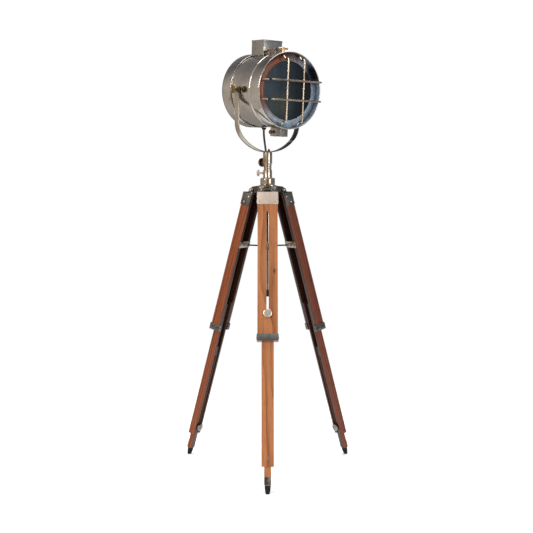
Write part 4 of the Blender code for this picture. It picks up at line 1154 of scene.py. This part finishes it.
def build_spider():
    bore = TUBE_RADIUS + GAP
    profile = [
        (bore, CUP_TOP), (CUP_RADIUS - 0.003, CUP_TOP), (CUP_RADIUS, CUP_TOP - 0.003),
        (CUP_RADIUS, CUP_END + 0.0085), (CUP_RADIUS - 0.0010, CUP_END + 0.0078),
        (CUP_RADIUS - 0.0010, CUP_END + 0.0060), (CUP_RADIUS, CUP_END + 0.0053),
        (CUP_RADIUS, CUP_END + 0.002), (CUP_RADIUS - 0.002, CUP_END), (bore, CUP_END)
    ]
    cup = lathe(profile, 0.0008, TUBE_STEPS, True)
    outline = [(0.0220, 1.0265), (0.0220, 1.0515), (0.0560, 1.0475)]
    outline += arc((HINGE_RADIUS, HINGE_HEIGHT), 0.0090, 55, -90, 20) + [(0.0500, 1.0250)]
    arms, bolts = [], []
    for azimuth in LEG_AZIMUTHS.values():
        arm = plate(outline, 2 * (EAR_INNER - GAP), 0.0009, turn("Z", azimuth) @ turn("X", 90), segments=3)
        bolt = rod(
            (HINGE_RADIUS, -0.03, HINGE_HEIGHT), (HINGE_RADIUS, 0.03, HINGE_HEIGHT), HINGE_PIN + GAP, 32
        )
        arms.append(arm)
        bolts.append(moved(bolt, turn("Z", azimuth)))
    spider = carved(carved(cup, *arms, operation="UNION"), *bolts)
    add("tripod_crown", spider, CROWN, COLUMN, "stand", "nickel", "tripod_spider")
    screws = []
    for azimuth in LEG_AZIMUTHS.values():
        place = turn("Z", azimuth + 60)
        screws.append(moved(screw_mesh(0.0030, 0.0018, (CUP_RADIUS - 0.0002, 0, 1.0430), (1, 0, 0)), place))
    add("crown_screws", joined(*screws), NICKEL_FINE, COLUMN, "stand", "nickel")


def build_column():
    top = CUP_TOP
    profile = [(TUBE_BORE, top), (TUBE_RADIUS, top), (TUBE_RADIUS, TUBE_END), (TUBE_BORE, TUBE_END)]
    add(
        "guide_tube", lathe(profile, 0.0004, TUBE_STEPS, True), POST_METAL, COLUMN, "stand", "nickel",
        "column_tube"
    )
    top, bottom, bore = TUBE_END - GAP, TUBE_END - 0.026, 0.0042
    profile = [
        (bore, top + 0.012), (TUBE_BORE - GAP, top + 0.012), (TUBE_BORE - GAP, top), (TUBE_RADIUS, top),
        (TUBE_RADIUS, top - 0.004), (TUBE_RADIUS - 0.0006, top - 0.0048), (TUBE_RADIUS, top - 0.0056),
        (TUBE_RADIUS, bottom + 0.002), (TUBE_RADIUS - 0.002, bottom), (bore, bottom)
    ]
    add(
        "end_plug", lathe(profile, 0.0007, TUBE_STEPS, True), RUBBER, COLUMN, "stand", "rubber",
        "column_plug"
    )
    height = HINGE_HEIGHT + BRACE_X * math.sin(LEG_TILT) - BRACE_AT * math.cos(LEG_TILT)
    low, high, bore = height - HUB_HEIGHT / 2, height + HUB_HEIGHT / 2, TUBE_RADIUS + GAP
    profile = [
        (bore, high), (HUB_RADIUS, high), (HUB_RADIUS, high - 0.0044), (HUB_RADIUS - 0.0007, high - 0.0052),
        (HUB_RADIUS - 0.0007, low + 0.0052), (HUB_RADIUS, low + 0.0044), (HUB_RADIUS, low), (bore, low)
    ]
    hub = lathe(profile, 0.0006, 72, True)
    ears = []
    for azimuth in LEG_AZIMUTHS.values():
        for side in (-1, 1):
            reach = HUB_PIVOT_RADIUS + 0.0045
            outline = [(0.0148, low + 0.001)] + arc(
                (reach - 0.0065, height), 0.0065, -90, 90, 12
            ) + [(0.0148, high - 0.001)]
            at = shift(0, side * (EAR_GAP + EAR_THICK / 2), 0)
            ears.append(plate(outline, EAR_THICK, 0.0003, turn("Z", azimuth) @ at @ turn("X", 90)))
    add("slide_hub", carved(hub, *ears, operation="UNION"), SATIN, COLUMN, "brace_hub", "nickel", "brace_hub")


for build in (build_post, build_spider, build_column):
    build()


# Legs
ALONG = turn("Y", 90)
ACROSS = turn("X", 90)


def down(x, y, distance):
    return (x, y, -distance)


def capsule(low, high, width):
    """The outline of a round-ended slot along x."""
    half = width / 2
    return arc((high - half, 0), half, -90, 90, 16) + arc((low + half, 0), half, 90, 270, 16)


def rectangle(low, high):
    return [(low[0], low[1]), (high[0], low[1]), (high[0], high[1]), (low[0], high[1])]


def leg_board(width, inner, outer, top, end, slot=None, edge=0.0010):
    """A board with its face across the leg, between two distances from the hinge, with an optional slot."""
    half = width / 2
    holes = [capsule(*slot)] if slot else []
    face = rectangle((top, -half), (end, half))
    return moved(plate(face, outer - inner, edge, UP, holes, 3), shift((inner + outer) / 2, 0, 0) @ ALONG)


def build_cap(name, at, body):
    outside, front = UPPER_WIDTH / 2 + GAP, UPPER_OUT + GAP
    face = leg_board(2 * (outside + CAP_WALL), front, front + CAP_WALL, CAP_TOP, CAP_END, edge=0.0007)
    cheek = [
        (UPPER_IN + 0.001, -CAP_END), (front + 0.0004, -CAP_END), (front + 0.0004, -CAP_TOP),
        (UPPER_IN + 0.001, -CAP_TOP)
    ]
    ear = [(-0.0105, -CAP_TOP - 0.0006)] + arc((0, 0), 0.0085, 200, -20, 24) + [(0.0105, -CAP_TOP - 0.0006)]
    sides, ears, screws, studs_at = [], [], [], []
    for side in (-1, 1):
        sides.append(
            moved(plate(cheek, CAP_WALL, 0.0005, ACROSS), shift(0, side * (outside + CAP_WALL / 2), 0))
        )
        ear_mesh = plate(ear, EAR_OUTER - EAR_INNER, 0.0008, ACROSS, segments=3)
        ears.append(moved(ear_mesh, shift(0, side * (EAR_INNER + EAR_OUTER) / 2, 0)))
        for x, z in ((-0.008, -0.0225), (0.006, -0.0460)):
            screws.append(screw_mesh(0.0033, 0.0016, (x, side * (outside + CAP_WALL), z), (0, side, 0)))
        studs_at.append((front + CAP_WALL, side * 0.0285, -0.0475))
    top = block(
        down(UPPER_IN + 0.001, -outside - CAP_WALL, CAP_TOP + CAP_WALL - 0.0002),
        down(front + CAP_WALL, outside + CAP_WALL, CAP_TOP), 0.0005
    )
    bore = rod((0, -0.03, 0), (0, 0.03, 0), HINGE_PIN + GAP, 32)
    add(
        f"cap_shell_{name}", carved(carved(top, *sides, *ears, operation="UNION"), bore), CAP_SIDE, at,
        body, "satin_nickel", f"leg_cap_{name}"
    )
    add(f"cap_face_{name}", face, CAP_PLATE, at, body, "satin_nickel")
    screws += [screw_mesh(0.0024, 0.0010, place, (1, 0, 0)) for place in studs_at]
    add(f"cap_screws_{name}", joined(*screws), NICKEL_FINE, at, body, "nickel")
    ends = [rod((0, -0.024, 0), (0, 0.024, 0), HINGE_PIN, 32)]
    start = EAR_OUTER + GAP
    ends.append(
        lathe(
            [(0, start), (0.0058, start), (0.0058, start + 0.0062), (0, start + 0.0062)], 0.0008, 6,
            matrix=turn("X", -90)
        )
    )
    ends.append(
        lathe(
            [
                (0, start), (0.0058, start), (0.0054, start + 0.0040), (0.0030, start + 0.0062),
                (0, start + 0.0065)
            ], 0.0012, 32, matrix=turn("X", 90)
        )
    )
    add(
        f"hinge_pin_{name}", carved(*ends, operation="UNION"), NICKEL_FINE, at, body, "nickel",
        f"hinge_bolt_{name}"
    )


def build_upper(name, at, body):
    rail = (UPPER_WIDTH - CHANNEL_WIDTH) / 4
    face = leg_board(
        UPPER_WIDTH, CHANNEL_FLOOR, UPPER_OUT, UPPER_TOP, UPPER_END,
        (SLOT_TOP, CLAMP_AT + SLOT_WIDTH / 2, SLOT_WIDTH), 0.0014
    )
    parts = [face]
    for side in (-1, 1):
        board = leg_board(2 * rail, UPPER_IN, CHANNEL_FLOOR - 0.0001, UPPER_TOP, UPPER_END, edge=0.0011)
        parts.append(moved(board, shift(0, side * (UPPER_WIDTH / 2 - rail), 0)))
    add(f"upper_board_{name}", joined(*parts), WOODS[(name, "upper")], at, body, "wood", f"upper_leg_{name}")
    half, wall, tab = UPPER_WIDTH / 2 + GAP, FERRULE_WALL, CHANNEL_WIDTH / 2 + 0.001
    low, high = UPPER_IN - GAP, UPPER_OUT + GAP
    outline = [
        (high + wall, -half - wall), (high + wall, half + wall), (low - wall, half + wall),
        (low - wall, tab), (low, tab), (low, half), (high, half), (high, -half), (low, -half), (low, -tab),
        (low - wall, -tab), (low - wall, -half - wall)
    ]
    centre = UPPER_END + 0.0005 - FERRULE_HEIGHT / 2
    # Painted shade: the left and right ferrules take the darker cap metal, and the front one takes the plain
    # ferrule metal.
    add(
        f"ferrule_{name}", moved(plate(outline, FERRULE_HEIGHT, 0.0006, segments=3), shift(0, 0, -centre)),
        FERRULE_METAL if name == "front" else CAP_SIDE, at, body, "nickel", f"upper_ferrule_{name}"
    )
    screws = [
        screw_mesh(0.0026, 0.0013, (x, side * (half + wall), -centre), (0, side, 0)) for side in (-1, 1)
        for x in (-0.010, 0.009)
    ]
    screws += [
        screw_mesh(0.0024, 0.0012, (low - wall, side * 0.0300, -centre), (-1, 0, 0)) for side in (-1, 1)
    ]
    add(f"ferrule_screws_{name}", joined(*screws), DARK_METAL, at, body, "nickel")
    back = UPPER_IN - GAP
    plate_mesh = moved(
        plate(rectangle((-BRACE_AT - 0.012, -0.0355), (-BRACE_AT + 0.012, 0.0355)), 0.0017, 0.0005),
        shift(back - 0.00085, 0, 0) @ turn("Y", -90)
    )
    ears = []
    for side in (-1, 1):
        outline = [(back - 0.0005, -BRACE_AT - 0.0055)] + [(back - 0.0005, -BRACE_AT + 0.0055)]
        outline += arc((BRACE_X + 0.0010, -BRACE_AT), 0.0055, 90, 270, 12)
        ears.append(
            moved(plate(outline, EAR_THICK, 0.0003, ACROSS), shift(0, side * (EAR_GAP + EAR_THICK / 2), 0))
        )
    bore = rod(down(BRACE_X, -0.01, BRACE_AT), down(BRACE_X, 0.01, BRACE_AT), 0.0018, 24)
    add(
        f"clip_plate_{name}", carved(carved(plate_mesh, *ears, operation="UNION"), bore), SATIN, at, body,
        "nickel", f"brace_clip_{name}"
    )
    screws = [screw_mesh(0.0026, 0.0013, (back - 0.0017, y, -BRACE_AT), (-1, 0, 0)) for y in mirrored(0.0285)]
    add(f"clip_screws_{name}", joined(*screws), DARK_METAL, at, body, "nickel")


def build_brace(name, at):
    length = HINGE_RADIUS + BRACE_X * math.cos(LEG_TILT) + BRACE_AT * math.sin(LEG_TILT) - HUB_PIVOT_RADIUS
    pivot = at @ shift(*down(BRACE_X, 0, BRACE_AT)) @ Matrix.Rotation(LEG_TILT, 4, "Y")
    bar = lathe(
        [
            (0, -length), (ROD_RADIUS * 0.9, -length), (ROD_RADIUS * 0.9, -length + 0.006),
            (ROD_RADIUS, -length + 0.009), (ROD_RADIUS, -0.009), (ROD_RADIUS * 0.9, -0.006),
            (ROD_RADIUS * 0.9, 0), (0, 0)
        ], 0.0004, 32, matrix=FORWARD
    )
    eyes = [
        rod((-length, -0.0033, 0), (-length, 0.0033, 0), 0.0034, 32),
        rod((0, -0.0035, 0), (0, 0.0035, 0), 0.0038, 32),
        rod((0, -EAR_GAP - EAR_THICK - 0.0005, 0), (0, EAR_GAP + EAR_THICK + 0.0005, 0), 0.0014, 20)
    ]
    add(
        f"brace_rod_{name}", carved(bar, *eyes, operation="UNION"), DARK_METAL, pivot, f"brace_arm_{name}",
        "nickel", f"brace_arm_{name}"
    )


def build_middle(name, at, body):
    rail = (MIDDLE_WIDTH - GROOVE_WIDTH) / 4
    bore = rod(down(-0.03, 0, FOOT_BOLT_AT), down(0.03, 0, FOOT_BOLT_AT), 0.0033, 32)
    face = leg_board(MIDDLE_WIDTH, GROOVE_FLOOR, MIDDLE_OUT, MIDDLE_TOP, MIDDLE_END, edge=0.0012)
    parts = [carved(face, bore)]
    for side in (-1, 1):
        board = leg_board(2 * rail, MIDDLE_IN, GROOVE_FLOOR - 0.0001, MIDDLE_TOP, MIDDLE_END, edge=0.0010)
        parts.append(moved(board, shift(0, side * (MIDDLE_WIDTH / 2 - rail), 0)))
    add(
        f"middle_board_{name}", joined(*parts), WOODS[(name, "middle")], at, body, "wood",
        f"middle_leg_{name}"
    )


def build_leg_knobs(name, at):
    face = UPPER_OUT + 2 * GAP
    profile = [
        (0, face + 0.0069), (0.0132, face + 0.0068), (0.0152, face + 0.0060), (0.0158, face + 0.0046),
        (0.0158, face + 0.0012), (0.0146, face), (0.0034, face), (0.0034, MIDDLE_OUT + GAP),
        (0, MIDDLE_OUT + GAP)
    ]
    pivot = at @ shift(*down(0, 0, CLAMP_AT)) @ FORWARD
    # Painted shade: the left and right clamp discs take the darker ferrule metal, and the front one takes the
    # pale knob metal.
    add(
        f"clamp_disc_{name}", lathe(profile, 0.0007, 144, flutes=(36, 0.025, 0.0154)),
        KNOB_METAL if name == "front" else FERRULE_METAL, pivot, f"clamp_knob_{name}", "satin_nickel",
        f"clamp_knob_{name}"
    )
    head, face, back = MIDDLE_OUT + GAP, MIDDLE_IN - GAP, MIDDLE_IN - GAP - 0.0080
    profile = [
        (0, head + 0.0022), (0.0035, head + 0.0020), (0.0055, head), (0.0030, head), (0.0030, face),
        (0.0120, face), (0.0145, face - 0.0006), (0.0160, face - 0.0018), (0.0160, back + 0.0014),
        (0.0140, back), (0.0120, back + 0.0010), (0.0050, back + 0.0010), (0.0040, back), (0, back)
    ]
    pivot = at @ shift(*down(0, 0, FOOT_BOLT_AT)) @ FORWARD
    add(
        f"foot_disc_{name}", lathe(profile, 0.0006, 144, flutes=(36, 0.025, 0.0155)), FERRULE_METAL, pivot,
        f"foot_knob_{name}", "satin_nickel", f"foot_knob_{name}"
    )


def build_lower(name, at, body):
    slot = (*LOWER_SLOT, LOWER_SLOT_WIDTH)
    board = leg_board(LOWER_WIDTH, LOWER_IN, LOWER_OUT, LOWER_TOP, LOWER_END, slot, 0.0016)
    add(f"lower_board_{name}", board, WOODS[(name, "lower")], at, body, "wood", f"lower_leg_{name}")
    half, top, end = LOWER_WIDTH / 2, LOWER_END - 0.0290, LOWER_END - 0.0008
    shoe = leg_board(2 * half - 0.0006, LOWER_OUT, LOWER_OUT + 0.0009, top, end, edge=0.0003)
    screws = [
        screw_mesh(0.0024, 0.0011, (LOWER_OUT + 0.0009, 0, z), (1, 0, 0))
        for z in (-top - 0.0055, -end + 0.0065)
    ]
    add(f"shoe_{name}", shoe, SHOE, at, body, "nickel")
    add(f"shoe_screws_{name}", joined(*screws), DARK_METAL, at, body, "nickel")
    top = -LOWER_END - GAP
    profile = [
        (0, top), (0.0102, top), (0.0108, top - 0.0010), (0.0108, top - 0.0040), (0.0102, top - 0.0050),
        (0.0107, top - 0.0060), (0.0104, top - 0.0100), (0.0092, top - 0.0180), (0.0072, top - 0.0262),
        (0.0040, top - 0.0322), (0, top - 0.0340)
    ]
    shape = bmesh.new()
    shape.from_mesh(lathe(profile, 0.0006, 64))
    bmesh.ops.transform(shape, matrix=at @ shift((LOWER_IN + LOWER_OUT) / 2, 0, 0), verts=shape.verts)
    cut = bmesh.ops.bisect_plane(
        shape, geom=shape.verts[:] + shape.edges[:] + shape.faces[:], plane_co=(0, 0, 0),
        plane_no=(0, 0, 1), clear_inner=True
    )
    bmesh.ops.contextual_create(shape, geom=[e for e in cut["geom_cut"] if isinstance(e, bmesh.types.BMEdge)])
    bmesh.ops.transform(shape, matrix=at.inverted(), verts=shape.verts)
    add(f"rubber_foot_{name}", as_mesh(shape), RUBBER, at, body, "rubber", f"foot_tip_{name}")


for leg_name, leg_frame in LEGS.items():
    build_cap(leg_name, leg_frame, f"leg_{leg_name}")
    build_upper(leg_name, leg_frame, f"leg_{leg_name}")
    build_brace(leg_name, leg_frame)
    build_middle(leg_name, leg_frame, f"middle_{leg_name}")
    build_leg_knobs(leg_name, leg_frame)
    build_lower(leg_name, leg_frame, f"lower_{leg_name}")


# Floor, light and camera
def build_floor():
    shape = bmesh.new()
    bmesh.ops.create_circle(shape, cap_ends=True, segments=96, radius=FLOOR_RADIUS)
    floor = bpy.data.objects.new("floor", as_mesh(shape))
    bpy.context.scene.collection.objects.link(floor)
    finish = Finish("floor_paper", {"Roughness": 0.9, "Specular IOR Level": 0.1})
    cloud = finish.noise(0.8, detail=2)
    finish.paint(finish.mix(cloud, rgba("f6f5f3"), rgba("fafaf9")))
    x, y, _ = finish.axes()[:3]
    reach = finish.distance(x, y)
    glow = finish.node("ShaderNodeEmission", {"Color": (1, 1, 1, 1), "Strength": 1.0}).outputs[0]
    fade = finish.spread(reach, 0.5, 2.2, 0.0, 1.0)
    surface = finish.node("ShaderNodeMixShader", {0: fade, 1: finish.shader.outputs[0], 2: glow}).outputs[0]
    finish.give(finish.tree.nodes["Material Output"].inputs["Surface"], surface)
    floor.data.materials.append(finish.material)
    floor.location.z = -0.0002


def area_light(name, location, target, size, power, colour, mirrored_in_metal=True):
    light = bpy.data.lights.new(name, "AREA")
    light.shape = "RECTANGLE"
    light.size, light.size_y = size
    light.energy = power
    light.color = colour
    lamp = bpy.data.objects.new(name, light)
    bpy.context.scene.collection.objects.link(lamp)
    lamp.location = location
    lamp.rotation_euler = (Vector(target) - Vector(location)).to_track_quat("-Z", "Y").to_euler()
    lamp.visible_camera = False
    lamp.visible_glossy = mirrored_in_metal


def build_world():
    """White behind the lamp, and a dim studio with two pale panels in front of it for the metal to mirror."""
    world = bpy.data.worlds.new("studio")
    bpy.context.scene.world = world
    world.use_nodes = True
    nodes, links = world.node_tree.nodes, world.node_tree.links
    nodes.clear()

    def node(kind, inputs, **settings):
        made = nodes.new(kind)
        for key, value in settings.items():
            setattr(made, key, value)
        for key, value in inputs.items():
            if isinstance(value, bpy.types.NodeSocket):
                links.new(value, made.inputs[key])
            else:
                made.inputs[key].default_value = value
        return made

    direction = node("ShaderNodeTexCoord", {}).outputs["Generated"]
    x, y, z = node("ShaderNodeSeparateXYZ", {0: direction}).outputs[:3]
    side = node("ShaderNodeMapRange", {0: x, 1: -0.9, 2: 0.9, 3: 0.0, 4: 1.0}).outputs[0]
    walls = node("ShaderNodeValToRGB", {0: side})
    stops = [(0.0, WALL_LEFT), (0.30, WALL_MIDDLE), (0.62, WALL_DARK), (1.0, WALL_RIGHT)]
    elements = walls.color_ramp.elements
    while len(elements) < len(stops):
        elements.new(0.5)
    for element, (position, colour) in zip(elements, stops):
        element.position = position
        element.color = (*colour, 1)
    offside = node("ShaderNodeMath", {0: x}, operation="ABSOLUTE").outputs[0]
    near = node("ShaderNodeMapRange", {0: offside, 1: 0.10, 2: 0.26, 3: 0.0, 4: 1.0}).outputs[0]
    far = node("ShaderNodeMapRange", {0: offside, 1: 0.74, 2: 0.88, 3: 1.0, 4: 0.0}).outputs[0]
    ahead = node("ShaderNodeMapRange", {0: y, 1: -0.4, 2: -0.1, 3: 0.9, 4: 0.0}).outputs[0]
    strips = node("ShaderNodeMath", {0: near, 1: far}, operation="MULTIPLY").outputs[0]
    strips = node("ShaderNodeMath", {0: strips, 1: ahead}, operation="MULTIPLY").outputs[0]
    walls = node("ShaderNodeMix", {0: strips, 6: walls.outputs[0], 7: (*PANELS, 1)}, data_type="RGBA")
    lift = node("ShaderNodeMapRange", {0: z, 1: 0.15, 2: 0.75, 3: 0.0, 4: 1.0}).outputs[0]
    depth = node("ShaderNodeMapRange", {0: y, 1: -0.2, 2: 0.5, 3: 0.0, 4: 1.0}).outputs[0]
    above = node(
        "ShaderNodeMix", {0: depth, 6: (*CEILING, 1), 7: (*CEILING_BACK, 1)}, data_type="RGBA"
    ).outputs[2]
    studio = node("ShaderNodeMix", {0: lift, 6: walls.outputs[2], 7: above}, data_type="RGBA").outputs[2]
    seen = node("ShaderNodeLightPath", {}).outputs["Is Camera Ray"]
    colour = node("ShaderNodeMix", {0: seen, 6: studio, 7: (1.0, 1.0, 1.0, 1)}, data_type="RGBA").outputs[2]
    background = node("ShaderNodeBackground", {"Color": colour, "Strength": 1.0})
    links.new(background.outputs[0], nodes.new("ShaderNodeOutputWorld").inputs[0])


def build_camera():
    lens = bpy.data.cameras.new("camera")
    lens.lens, lens.sensor_width = CAMERA_LENS, CAMERA_SENSOR
    lens.clip_end = 100
    camera = bpy.data.objects.new("camera", lens)
    bpy.context.scene.collection.objects.link(camera)
    camera.location = CAMERA_AT
    camera.rotation_euler = (math.radians(90 - CAMERA_DOWN), 0, 0)
    bpy.context.scene.camera = camera


WALL_LEFT, WALL_MIDDLE = (0.70, 0.64, 0.58), (0.44, 0.41, 0.38)
WALL_DARK, WALL_RIGHT = (0.15, 0.15, 0.155), (0.34, 0.37, 0.41)
PANELS = (0.92, 0.89, 0.85)
FLOOR_RADIUS = 2.4
CAMERA_AT, CAMERA_DOWN = (-0.004, COLUMN_Y - 3.8025, 1.0525), 4.522
CAMERA_LENS, CAMERA_SENSOR = 69.56, 36.0
CEILING, CEILING_BACK = (0.80, 0.82, 0.85), (0.12, 0.13, 0.15)

build_floor()
build_world()
area_light("key", (-2.6, -2.6, 2.6), (0, 0.1, 0.9), (1.3, 2.0), 95, (1.0, 0.95, 0.88))
area_light("fill", (2.4, -3.0, 1.5), (0, 0.1, 0.8), (1.0, 1.8), 42, (0.92, 0.96, 1.0))
area_light("top", (0.3, 0.4, 4.2), (0, 0.1, 0.6), (3.0, 3.0), 120, (1.0, 1.0, 1.0))
area_light("back", (0.8, 3.4, 2.2), (0, 0.1, 0.9), (2.4, 1.6), 60, (1.0, 1.0, 1.0), False)
build_camera()
bpy.context.scene.view_settings.view_transform = "Standard"
